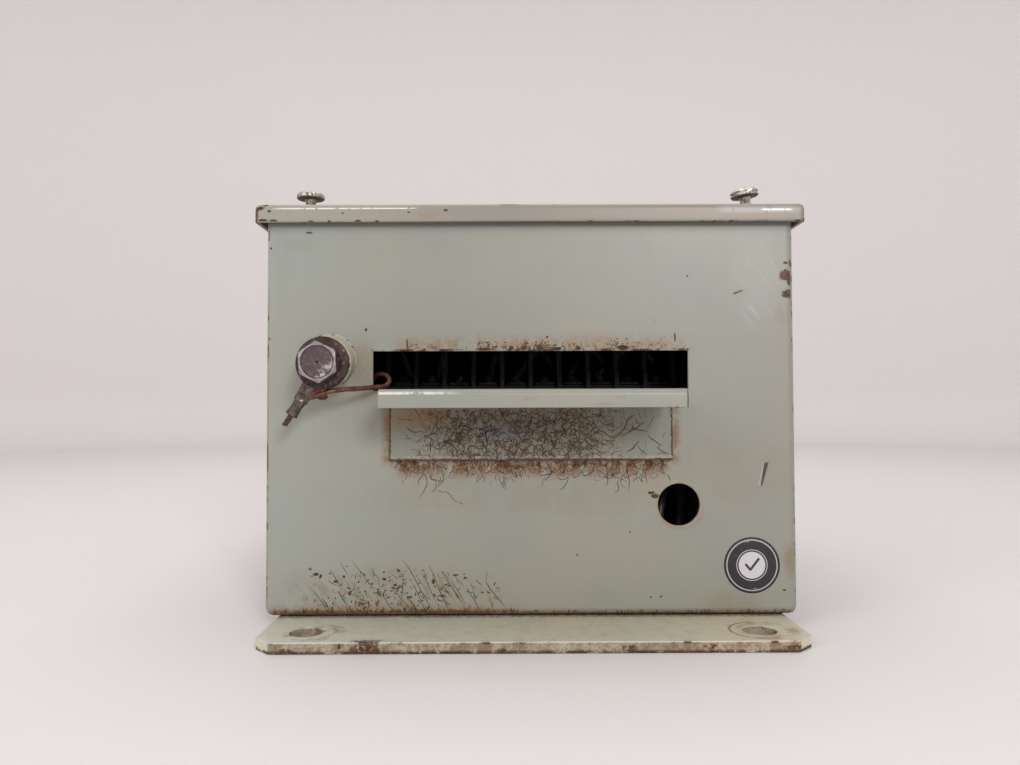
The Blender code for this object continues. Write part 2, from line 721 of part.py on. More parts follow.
def build_breakers():
    case_mesh = build_breaker_case()
    cover_mesh = build_breaker_cover()
    toggle_mesh = build_toggle()
    for number in range(BREAKER_COUNT):
        x = (number - (BREAKER_COUNT - 1) / 2) * BREAKER_PITCH
        frame = empty(f"breaker_{number + 1}_frame", (x, BREAKER_Y, 0), ENCLOSURE)
        case = bpy.data.objects.new(f"breaker_{number + 1}_case", case_mesh)
        place(case, BLACK, frame, (0, 0, ON_TRAY_Z))
        cover = bpy.data.objects.new(f"breaker_{number + 1}_cover", cover_mesh)
        place(cover, BLACK, frame, (0, 0, BREAKER_JOINT_Z + FIT_GAP))
        toggle = bpy.data.objects.new(f"breaker_{number + 1}_toggle", toggle_mesh)
        place(toggle, TOGGLE_WHITE, frame, (0, 0, TOGGLE_PIVOT_Z), (TOGGLE_ON_ANGLE, 0, 0))


def breaker_pole_x(pole):
    """X of a pole counted across all the breakers from the left."""
    number, side = divmod(pole, 2)
    centre = (number - (BREAKER_COUNT - 1) / 2) * BREAKER_PITCH
    return centre + (2 * side - 1) * BREAKER_POLE_OFFSET


def build_busbars():
    """Two comb bars behind the breakers, one above the other. Each reaches one pole of every breaker."""
    breaker_end = BREAKER_Y + BREAKER_LENGTH / 2
    near = breaker_end + 0.005
    far = near + BUSBAR_THICKNESS
    tooth_half, tooth_reach = 0.003, 0.008
    for side, low_z in enumerate(BUSBAR_LOW_Z):
        name = f"busbar_{side + 1}"
        bar = box_mesh(
            name,
            (BUSBAR_LEFT_X, near, low_z),
            (BUSBAR_RIGHT_X, far, low_z + BUSBAR_HEIGHT),
        )
        busbar = place(bpy.data.objects.new(name, bar), COPPER, ENCLOSURE)
        tooth = box_mesh(
            "tooth",
            (-tooth_half, breaker_end - tooth_reach, low_z),
            (tooth_half, (near + far) / 2, low_z + BUSBAR_THICKNESS),
        )
        for number in range(BREAKER_COUNT):
            boolean(busbar, helper(tooth, (breaker_pole_x(2 * number + side), 0, 0)), "UNION")


# Wires. Each route is a list of points in millimetres.

LOAD_POLES = (0, 1, 3, 4, 6, 7)
SUPPLY_ROUTES = (
    (
        (43.3, -42.4, 95.0),
        (47.5, -37.6, 94.8),
        (56.0, -34.8, 93.2),
        (62.6, -34.4, 89.8),
        (64.9, -34.5, 84.0),
        (64.9, -34.5, 76.0),
        (64.5, -39.0, 66.0),
        (62.0, -60.0, 57.0),
        (57.0, -82.0, 51.0),
        (52.5, -92.0, 42.0),
        (51.5, -90.0, 29.0),
        (55.0, -72.0, 15.5),
        (62.0, -35.0, 11.5),
        (63.5, 20.0, 11.0),
        (63.5, 72.0, 12.0),
        (64.0, 93.0, 22.0),
        (65.0, 98.0, 50.0),
        (66.0, 96.5, 82.0),
        (67.5, 89.0, 97.5),
        (68.0, 82.0, 100.5),
        (68.0, 77.6, 100.6),
    ),
    (
        (55.3, -42.4, 95.0),
        (58.4, -39.0, 94.8),
        (64.0, -37.4, 93.4),
        (67.9, -35.6, 90.2),
        (69.1, -34.5, 84.0),
        (69.1, -34.5, 76.0),
        (69.0, -38.5, 64.0),
        (67.0, -60.0, 50.0),
        (63.5, -80.0, 44.0),
        (60.5, -89.5, 36.0),
        (60.5, -86.0, 24.0),
        (63.0, -68.0, 14.5),
        (68.0, -35.0, 11.5),
        (68.8, 20.0, 11.0),
        (68.8, 72.0, 12.0),
        (69.4, 95.0, 24.0),
        (71.0, 99.0, 54.0),
        (71.6, 97.0, 88.0),
        (71.2, 89.5, 104.5),
        (70.6, 82.5, 108.0),
        (70.5, 77.6, 108.1),
    ),
)


def millimetres(points):
    return [Vector(point) / 1000 for point in points]


def wire_start(pole, diameter):
    """Just behind a terminal's strip, lying on the block."""
    z = ON_TRAY_Z + BLOCK_BASE_HEIGHT + FIT_GAP + diameter / 2
    return Vector((pole_x(pole), BLOCK_Y + TERMINAL_WIRE_START, z))


def build_load_wires():
    """From the terminals up and over into the breakers' near recesses."""
    end_y = BREAKER_Y - BREAKER_LENGTH / 2 + 0.007
    end_z = ON_TRAY_Z + 0.0205
    for number, pole in enumerate(LOAD_POLES):
        start = wire_start(pole, LOAD_WIRE_DIAMETER)
        end = Vector((breaker_pole_x(number), end_y, end_z))
        across = end.x - start.x
        rise = 0.0045 + 0.12 * abs(across)
        route = (
            start,
            start + Vector((0.02 * across, 0.003, 0.0022)),
            Vector((start.x + 0.25 * across, start.y + 0.007, end_z - 0.004 + 0.5 * rise)),
            Vector((start.x + 0.60 * across, start.y + 0.011, end_z + rise)),
            Vector((end.x - 0.08 * across, start.y + 0.0155, end_z + 0.45 * rise)),
            end - Vector((0, 0.006, -0.0004)),
            end,
        )
        wire(f"load_wire_{number + 1}", route, LOAD_WIRE_DIAMETER, WIRE_GREY, ENCLOSURE)


def build_supply_wires():
    """Down through the grommet, forward past the cable hole, and back along the floor to the busbars."""
    for number, points in enumerate(SUPPLY_ROUTES):
        pole = POLE_COUNT - len(SUPPLY_ROUTES) + number
        route = [wire_start(pole, SUPPLY_WIRE_DIAMETER), *millimetres(points)]
        wire(f"supply_wire_{number + 1}", route, SUPPLY_WIRE_DIAMETER, WIRE_BLACK, ENCLOSURE)


def ring_points(centre, radius, first, last, count, to_place):
    """Points along an arc from first to last, in degrees, each made a place by to_place(u, v)."""
    found = []
    for i in range(count):
        angle = math.radians(first + (last - first) * i / (count - 1))
        u = centre[0] + radius * math.cos(angle)
        v = centre[1] + radius * math.sin(angle)
        found.append(to_place(u, v))
    return found


EARTH_WIRE_RUN = (
    (-66.6, -92.5, 83.4),
    (-65.4, -97.5, 85.2),
    (-63.6, -101.5, 89.0),
    (-61.4, -104.5, 93.4),
    (-58.4, -107.4, 95.8),
    (-55.2, -109.8, 95.5),
    (-53.6, -111.6, 93.6),
    (-54.5, -113.2, 91.6),
    (-58.0, -115.6, 90.8),
    (-63.0, -119.4, 90.2),
    (-68.0, -123.6, 89.8),
)


def build_earth_wire():
    """An eye under the inner screw, out through the slot's end, and a hook round the earth bolt."""
    half = EARTH_WIRE_DIAMETER / 2
    eye_z = TRAY_TOP_Z + FIT_GAP + half
    eye = ring_points(INNER_EARTH, 0.0033, 250, 0, 8, lambda x, y: Vector((x, y, eye_z)))
    hook_y = FACE_Y - WIRE_CENTRE
    axis = (EARTH_X, EARTH_Z)
    hook = ring_points(axis, 0.0053, 205, -40, 9, lambda x, z: Vector((x, hook_y, z)))
    doubled_back = [
        Vector((EARTH_X + x / 1000, hook_y, EARTH_Z + z / 1000))
        for x, z in ((2.6, -9.8), (-0.4, -11.0), (-2.5, -11.5), (-4.2, -10.4), (-5.2, -8.2), (-5.5, -5.4))
    ]
    route = [*eye, *millimetres(EARTH_WIRE_RUN), *doubled_back, *hook]
    wire("earth_wire", route, EARTH_WIRE_DIAMETER, COPPER, ENCLOSURE, 1)


# The earth bolt and what it clamps

EARTH_AXIS = empty("earth_axis", (EARTH_X, FACE_Y, EARTH_Z), ENCLOSURE, (math.pi / 2, 0, 0))


def build_earth_boss():
    """A round boss with a weld fillet at its foot and a blind threaded bore."""
    radius, bore, fillet = EARTH_BOSS_DIAMETER / 2, BOLT_DIAMETER / 2 + 0.0002, 0.0012
    profile = (
        (bore, EARTH_BOSS_LENGTH),
        (radius - 0.0006, EARTH_BOSS_LENGTH),
        (radius, EARTH_BOSS_LENGTH - 0.0006),
        (radius, FIT_GAP + fillet),
        (radius + fillet / 3, FIT_GAP + fillet / 3),
        (radius + fillet, FIT_GAP),
        (0, FIT_GAP),
        (0, 0.0022),
        (bore, 0.0038),
    )
    boss = smooth(turned("earth_boss", profile, 28))
    place(boss, PAINT, EARTH_AXIS)


def washer(name, outer, bore, low, high, steps=24):
    profile = ((bore / 2, high), (outer / 2, high), (outer / 2, low), (bore / 2, low))
    return turned(name, profile, steps)


def build_earth_stack():
    slide = empty("earth_washers_axis", (0, 0, 0), EARTH_AXIS)
    bore = BOLT_DIAMETER + EARTH_CLEARANCE
    flat_height = (FLAT_WASHER_FROM, FLAT_WASHER_TO)
    flat = washer("earth_flat_washer", FLAT_WASHER_DIAMETER, bore, *flat_height, 28)
    place(flat, RUSTY, slide)
    spring_height = (SPRING_WASHER_FROM, SPRING_WASHER_TO)
    spring = washer("earth_spring_washer", SPRING_WASHER_DIAMETER, bore, *spring_height)
    place(spring, RUSTY, slide)
    gap_half, gap_turn = 0.0004, math.radians(20)
    gap = box_mesh(
        "spring_washer_gap",
        (0, -gap_half, 0),
        (SPRING_WASHER_DIAMETER, gap_half, BOLT_HEAD_FROM),
    )
    boolean(spring, child_helper(gap, slide, (0, 0, 0), (0, 0, gap_turn)))
    head = cylinder_mesh(
        "earth_bolt",
        BOLT_ACROSS_FLATS / math.cos(math.pi / 6),
        BOLT_HEAD_FROM,
        BOLT_HEAD_FROM + BOLT_HEAD_HEIGHT,
        6,
        BOLT_HEX_TURN,
    )
    bolt = place(bpy.data.objects.new("earth_bolt", head), RUSTY, slide)
    inside_head = BOLT_HEAD_FROM + BOLT_HEAD_HEIGHT / 2
    shank = cylinder_mesh("shank", BOLT_DIAMETER, BOLT_HEAD_FROM - BOLT_LENGTH, inside_head, 24)
    boolean(bolt, child_helper(shank, slide), "UNION")
    top = BOLT_HEAD_FROM + BOLT_HEAD_HEIGHT
    outside = 1.5 * BOLT_ACROSS_FLATS / 2
    drop = (outside - BOLT_FACE_RADIUS) * math.tan(BOLT_CHAMFER_ANGLE)
    chamfer_profile = (
        (outside, top + BOLT_HEAD_HEIGHT),
        (outside, top - drop),
        (BOLT_FACE_RADIUS, top),
        (BOLT_FACE_RADIUS, top + BOLT_HEAD_HEIGHT),
    )
    chamfer = baked(turned("bolt_chamfer", chamfer_profile, 24), "bolt_chamfer")
    boolean(bolt, child_helper(chamfer, slide))


def build_stub_lug():
    """A ring lug: ring, tongue, crimped barrel and the cut end of its cable, along its own +X."""
    ring_hole = BOLT_DIAMETER + EARTH_CLEARANCE
    ring = cylinder_mesh("stub_lug", LUG_RING_DIAMETER, LUG_FROM, LUG_TO, 28)
    lug = bpy.data.objects.new("stub_lug", ring)
    rotation = (0, 0, LUG_DIRECTION)
    place(lug, PLATED, EARTH_AXIS, (0, 0, 0), rotation)
    middle = (LUG_FROM + LUG_TO) / 2
    tongue = box_mesh("tongue", (0.003, -0.0031, LUG_FROM), (0.0168, 0.0031, LUG_TO))
    boolean(lug, child_helper(tongue, EARTH_AXIS, (0, 0, 0), rotation), "UNION")
    for name, diameter, start, length in (
        ("barrel", 0.0047, 0.0157, 0.0065),
        ("cut_cable", 0.0022, 0.0210, 0.0058),
    ):
        tube = cylinder_mesh(name, diameter, 0, length, 16)
        tube.transform(Matrix.Translation((start, 0, middle)) @ Matrix.Rotation(math.pi / 2, 4, "Y"))
        boolean(lug, child_helper(tube, EARTH_AXIS, (0, 0, 0), rotation), "UNION")
    hole = cylinder_mesh("lug_hole", ring_hole, 0, 2 * LUG_TO, 24)
    boolean(lug, child_helper(hole, EARTH_AXIS))


# The cover and its screws


def cover_screw_places():
    """(name, x, y, raised, lean) of the four cover screws."""
    raised = {"front_left": SCREW_RAISED, "front_right": LEANING_SCREW_RAISED}
    lean = {"front_right": LEANING_SCREW_ANGLE}
    found = []
    for name, x_side, y_side in zip(SCREW_NAMES, SCREW_X_SIDES, SCREW_Y_SIDES):
        x, y = x_side * COVER_SCREW_X, y_side * COVER_SCREW_Y
        found.append((name, x, y, raised.get(name, FIT_GAP), lean.get(name, 0.0)))
    return found


def build_cover():
    half_x = BODY_WIDTH / 2 + COVER_OVERHANG
    half_y = BODY_LENGTH / 2 + COVER_OVERHANG
    low = (-half_x, -half_y, COVER_TOP_Z - COVER_LIP)
    high = (half_x, half_y, COVER_TOP_Z)
    cover = place(open_box("cover", low, high, False, COVER_BEND_RADIUS), PAINT, ENCLOSURE)
    past = 2 * SHEET
    hole = cylinder_mesh("cover_hole_cutter", COVER_HOLE_DIAMETER, -past, past, 20)
    for _, x, y, _, _ in cover_screw_places():
        boolean(cover, helper(hole, (x, y, COVER_TOP_Z)))


def build_cover_screws():
    """Each screw has a rounded head, a reduced neck and a short thread. All four share one mesh."""
    rim, point = 0.0011, 0.0006
    head, neck, thread = SCREW_HEAD_DIAMETER / 2, SCREW_NECK_DIAMETER / 2, SCREW_THREAD_DIAMETER / 2
    tip = -SCREW_NECK_LENGTH - SCREW_THREAD_LENGTH
    profile = (
        (0, SCREW_HEAD_HEIGHT),
        (head - 1.7 * rim, SCREW_HEAD_HEIGHT),
        (head - 0.4 * rim, SCREW_HEAD_HEIGHT - 0.5 * rim),
        (head, SCREW_HEAD_HEIGHT - rim),
        (head, 0.6 * rim),
        (head - rim, 0),
        (neck, 0),
        (neck, -SCREW_NECK_LENGTH),
        (thread, -SCREW_NECK_LENGTH),
        (thread, tip + point),
        (thread - point, tip),
        (0, tip),
    )
    screw_mesh = baked(turned("cover_screw", profile, 16), "cover_screw")
    half = WASHER_THICKNESS / 2
    ring = washer("retaining_washer", WASHER_DIAMETER, WASHER_BORE, -half, half, 20)
    washer_mesh = baked(ring, "retaining_washer")
    washer_drop = SCREW_NECK_LENGTH - FIT_GAP - WASHER_THICKNESS / 2
    for name, x, y, raised, lean in cover_screw_places():
        axis = empty("cover_screw_axis_" + name, (x, y, COVER_TOP_Z), ENCLOSURE, (0, lean, 0))
        ring = bpy.data.objects.new("retaining_washer_" + name, washer_mesh)
        place(ring, PLATED, axis, (0, 0, raised - washer_drop))
        screw = bpy.data.objects.new("cover_screw_" + name, screw_mesh)
        smooth(place(screw, RUSTY, axis, (0, 0, raised)))


def build_all():
    build_tub()
    build_mounting_bar("mounting_bar_front", -1)
    build_mounting_bar("mounting_bar_rear", 1)
    build_cable_support()
    build_corner_brackets()
    build_tray()
    build_tray_screws()
    build_inner_earth_screw()
    build_grommet()
    build_terminal_block()
    build_terminals()
    build_breakers()
    build_busbars()
    build_load_wires()
    build_supply_wires()
    build_earth_wire()
    build_earth_boss()
    build_earth_stack()
    build_stub_lug()
    build_cover()
    build_cover_screws()


build_all()
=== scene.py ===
"""The looks of the breaker panel box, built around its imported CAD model. Lengths are in metres."""

import math
import random

import bmesh
import bpy
from mathutils import Matrix, Vector, noise


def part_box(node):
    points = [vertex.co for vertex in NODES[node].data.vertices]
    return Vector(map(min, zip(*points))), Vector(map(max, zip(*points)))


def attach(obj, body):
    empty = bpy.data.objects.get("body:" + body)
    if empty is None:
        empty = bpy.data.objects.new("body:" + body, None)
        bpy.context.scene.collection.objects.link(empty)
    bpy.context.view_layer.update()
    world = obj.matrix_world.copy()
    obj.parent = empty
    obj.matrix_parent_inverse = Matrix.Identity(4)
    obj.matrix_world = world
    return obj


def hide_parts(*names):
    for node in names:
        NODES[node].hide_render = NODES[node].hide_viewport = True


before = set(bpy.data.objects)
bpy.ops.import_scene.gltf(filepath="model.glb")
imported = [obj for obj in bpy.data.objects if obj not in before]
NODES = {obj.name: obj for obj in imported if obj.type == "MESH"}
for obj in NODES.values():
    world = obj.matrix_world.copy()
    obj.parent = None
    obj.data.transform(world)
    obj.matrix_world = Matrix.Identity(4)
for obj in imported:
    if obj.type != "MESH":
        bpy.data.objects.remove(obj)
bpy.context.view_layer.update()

MM = 0.001

# Places, from the frame where it tells them
TUB_LOW, TUB_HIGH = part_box("enclosure_tub")
COVER_LOW, COVER_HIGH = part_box("cover")
SUPPORT_LOW, SUPPORT_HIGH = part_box("cable_support")
BAR_LOW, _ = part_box("mounting_bar_front")
BOSS_LOW, BOSS_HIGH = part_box("earth_boss")
FACE_Y = TUB_LOW.y
SLOT_HIGH = 104.5 * MM
SHEET = 1.6 * MM
FOOT_Y = FACE_Y - 0.3 * MM - SHEET
FOOT_LOW = SUPPORT_LOW.z
SUPPORT_HALF = SUPPORT_HIGH.x
EARTH_X = (BOSS_LOW.x + BOSS_HIGH.x) / 2
EARTH_Z = (BOSS_LOW.z + BOSS_HIGH.z) / 2
HOLE_X, HOLE_Z, HOLE_RADIUS = 56 * MM, 46 * MM, 8 * MM
BAR_HOLE_X = 80 * MM
BAR_HOLE_Y = FACE_Y - 19 * MM
SCREW_X, SCREW_Y = 87 * MM, 98 * MM
LABEL_X, LABEL_Z = 83.4 * MM, 23.1 * MM


# Node materials


class Field:
    """A value that varies over a surface: a node socket that can be worked with as a number."""

    def __init__(self, look, socket):
        self.look = look
        self.socket = socket

    def __add__(self, other):
        return self.look.math("ADD", self, other)

    def __radd__(self, other):
        return self.look.math("ADD", other, self)

    def __sub__(self, other):
        return self.look.math("SUBTRACT", self, other)

    def __rsub__(self, other):
        return self.look.math("SUBTRACT", other, self)

    def __mul__(self, other):
        return self.look.math("MULTIPLY", self, other)

    def __rmul__(self, other):
        return self.look.math("MULTIPLY", other, self)

    def __truediv__(self, other):
        return self.look.math("DIVIDE", self, other)

    def __abs__(self):
        return self.look.math("ABSOLUTE", self, 0.0)

    def root(self):
        return self.look.math("SQRT", self, 0.0)

    def most(self, other):
        return self.look.math("MAXIMUM", self, other)

    def least(self, other):
        return self.look.math("MINIMUM", self, other)

    def rise(self, low, high):
        """0 below low, 1 above high, and smooth between."""
        node = self.look.node("ShaderNodeMapRange", interpolation_type="SMOOTHSTEP")
        self.look.feed(node.inputs["Value"], self)
        self.look.feed(node.inputs["From Min"], low)
        self.look.feed(node.inputs["From Max"], high)
        return Field(self.look, node.outputs["Result"])

    def fall(self, low, high):
        return 1.0 - self.rise(low, high)

    def within(self, low, high, soft):
        return self.rise(low - soft, low + soft) * self.fall(high - soft, high + soft)


class Look:
    """A material whose colour, roughness, metal and height are built up in layers."""

    def __init__(self, name, colour, roughness, metallic=0.0):
        self.material = bpy.data.materials.new(name)
        self.material.use_nodes = True
        self.tree = self.material.node_tree
        self.shader = self.tree.nodes["Principled BSDF"]
        self.place = self.node("ShaderNodeTexCoord").outputs["Object"]
        split = self.node("ShaderNodeSeparateXYZ")
        self.tree.links.new(self.place, split.inputs[0])
        self.x, self.y, self.z = (Field(self, out) for out in split.outputs)
        self.colour = self.rgb(colour)
        self.roughness = roughness
        self.metallic = metallic
        self.height = None
        self.made = {}

    def node(self, kind, **settings):
        made = self.tree.nodes.new(kind)
        for key, value in settings.items():
            setattr(made, key, value)
        return made

    def feed(self, socket, value):
        if isinstance(value, Field):
            self.tree.links.new(value.socket, socket)
        elif isinstance(value, bpy.types.NodeSocket):
            self.tree.links.new(value, socket)
        else:
            socket.default_value = value

    def rgb(self, colour):
        return (*colour, 1.0)

    def math(self, operation, a, b):
        node = self.node("ShaderNodeMath", operation=operation)
        self.feed(node.inputs[0], a)
        self.feed(node.inputs[1], b)
        return Field(self, node.outputs[0])

    def spot(self, x=None, y=None, z=None):
        """A place to look a texture up at, from changed coordinates."""
        node = self.node("ShaderNodeCombineXYZ")
        for i, value in enumerate((x, y, z)):
            self.feed(node.inputs[i], (self.x, self.y, self.z)[i] if value is None else value)
        return node.outputs[0]

    def noise(self, size, detail, rough, at=None):
        """Cloudy noise about 0.5, with features of the given size in mm. The same noise is made once."""
        key = (size, detail, rough)
        if at is None and key in self.made:
            return self.made[key]
        node = self.node("ShaderNodeTexNoise")
        self.feed(node.inputs["Vector"], at or self.place)
        node.inputs["Scale"].default_value = 1 / (size * MM)
        node.inputs["Detail"].default_value = detail
        node.inputs["Roughness"].default_value = rough
        found = Field(self, node.outputs[0])
        if at is None:
            self.made[key] = found
        return found

    def cells(self, size, feature="F1", at=None):
        """(distance, random number) of the cell pattern with cells of the given size in mm."""
        node = self.node("ShaderNodeTexVoronoi", feature=feature)
        self.feed(node.inputs["Vector"], at or self.place)
        node.inputs["Scale"].default_value = 1 / (size * MM)
        if feature == "DISTANCE_TO_EDGE":
            return Field(self, node.outputs["Distance"]), None
        split = self.node("ShaderNodeSeparateColor")
        self.tree.links.new(node.outputs["Color"], split.inputs[0])
        return Field(self, node.outputs["Distance"]), Field(self, split.outputs[0])

    def specks(self, size, share, spread):
        """Small round spots: one in a share of the cells, of varied size. size is in mm."""
        distance, chance = self.cells(size)
        radius = chance.rise(1 - share, 1.0) * spread
        return (radius - distance).rise(0.0, 0.08)

    def patch(self, x, z, half_x, half_z, ragged, grain, soft):
        """A ragged blot on an end face, about (x, z). The places and sizes are in mm."""
        across = (self.x - x * MM) / (half_x * MM)
        up = (self.z - z * MM) / (half_z * MM)
        reach = (across * across + up * up).root()
        edge = reach + (self.noise(grain, 5, 0.7) - 0.5) * (2 * ragged)
        return edge.fall(1.0 - soft, 1.0 + soft)

    def blots(self, soft, rows):
        """Ragged blots on an end face. rows holds (x, z, half width, half height) of each, in mm."""
        mask = None
        for x, z, half_x, half_z in rows:
            blot = self.patch(x, z, half_x, half_z, 1.1, 0.8, soft)
            mask = blot if mask is None else mask.most(blot)
        return mask

    def away(self, x, z, vertical="z"):
        """The distance from (x, z) on an end face, or from (x, y) seen from above."""
        across = self.x - x
        up = (self.z if vertical == "z" else self.y) - z
        return (across * across + up * up).root()

    def ring(self, x, z, radius, half_width, vertical="z"):
        return abs(self.away(x, z, vertical) - radius).fall(half_width * 0.4, half_width)

    def facing_up(self):
        """1 where the surface faces up, -1 where it faces down."""
        split = self.node("ShaderNodeSeparateXYZ")
        self.tree.links.new(self.node("ShaderNodeNewGeometry").outputs["Normal"], split.inputs[0])
        return Field(self, split.outputs[2])

    def mix(self, a, b, share):
        node = self.node("ShaderNodeMix", data_type="RGBA")
        self.feed(node.inputs["Factor"], share)
        self.feed(node.inputs[6], a)
        self.feed(node.inputs[7], b)
        return node.outputs[2]

    def layer(self, share, colour=None, roughness=None, metallic=None, height=None):
        """Lays a finish over what is there, where share is 1. height is in metres."""
        if colour is not None:
            target = colour if isinstance(colour, bpy.types.NodeSocket) else self.rgb(colour)
            self.colour = self.mix(self.colour, target, share)
        if roughness is not None:
            self.roughness = self.roughness + share * (roughness - self.roughness)
        if metallic is not None:
            self.metallic = self.metallic + share * (metallic - self.metallic)
        if height is not None:
            bump = share * height
            self.height = bump if self.height is None else self.height + bump
        return self

    def between(self, a, b, share):
        """A colour part of the way from a to b."""
        return self.mix(self.rgb(a), self.rgb(b), share)

    def finish(self, **sockets):
        self.feed(self.shader.inputs["Base Color"], self.colour)
        self.feed(self.shader.inputs["Roughness"], self.roughness)
        self.feed(self.shader.inputs["Metallic"], self.metallic)
        if self.height is not None:
            node = self.node("ShaderNodeBump")
            node.inputs["Strength"].default_value = 1.0
            node.inputs["Distance"].default_value = 1.0
            self.feed(node.inputs["Height"], self.height)
            self.tree.links.new(node.outputs[0], self.shader.inputs["Normal"])
        for name, value in sockets.items():
            self.shader.inputs[name.replace("_", " ")].default_value = value
        return self.material


SAGE = (0.278, 0.279, 0.237)
RUST_DARK = (0.026, 0.012, 0.006)
RUST_BROWN = (0.086, 0.036, 0.013)
RUST_ORANGE = (0.230, 0.100, 0.030)
STAIN = (0.225, 0.165, 0.095)
DIRT = (0.060, 0.052, 0.045)
BRIGHT_STEEL = (0.700, 0.690, 0.680)


def shade(colour, *parts):
    return tuple(value * part for value, part in zip(colour, parts))


def paint(name, tint=SAGE):
    """The shell's old satin paint: faint clouds of colour, grime in its grain and a little orange peel."""
    look = Look(name, tint, 0.40)
    look.layer(look.noise(60, 3, 0.5).rise(0.42, 0.68) * 0.60, shade(tint, 1.10, 1.00, 0.94))
    cool = look.noise(45, 2, 0.5, at=look.spot(z=look.z * 1.7 + 3.0))
    look.layer(cool.rise(0.45, 0.70) * 0.60, shade(tint, 0.90, 0.97, 1.02))
    look.layer(look.noise(6, 6, 0.7).rise(0.54, 0.80) * 0.14, STAIN, 0.55)
    look.layer(look.noise(1.1, 6, 0.75).rise(0.50, 0.85) * 0.08, DIRT)
    look.layer(look.noise(1.1, 6, 0.75), height=0.010 * MM)
    look.layer(look.specks(9, 0.12, 0.045), RUST_BROWN, 0.8)
    return look


def rust_over(look, share, deep=0.5):
    """Rust where share is 1: brown with an orange grain, and dark pits inside."""
    grain = look.noise(1.1, 6, 0.75)
    body = look.mix(look.between(RUST_BROWN, RUST_ORANGE, grain.rise(0.50, 0.80)), look.rgb(RUST_DARK),
                    look.noise(2.4, 5, 0.7).rise(0.42, 0.66) * deep)
    look.layer(share, body, 0.85)
    look.layer(share * grain, height=0.10 * MM)
    return look


def stain_over(look, share, colour=STAIN):
    look.layer(share, colour, 0.55)
    return look


def front_of(look, at_y, depth=1.0 * MM):
    """1 on faces at or before at_y, seen from the front."""
    return look.y.fall(at_y + 0.3 * depth, at_y + depth)


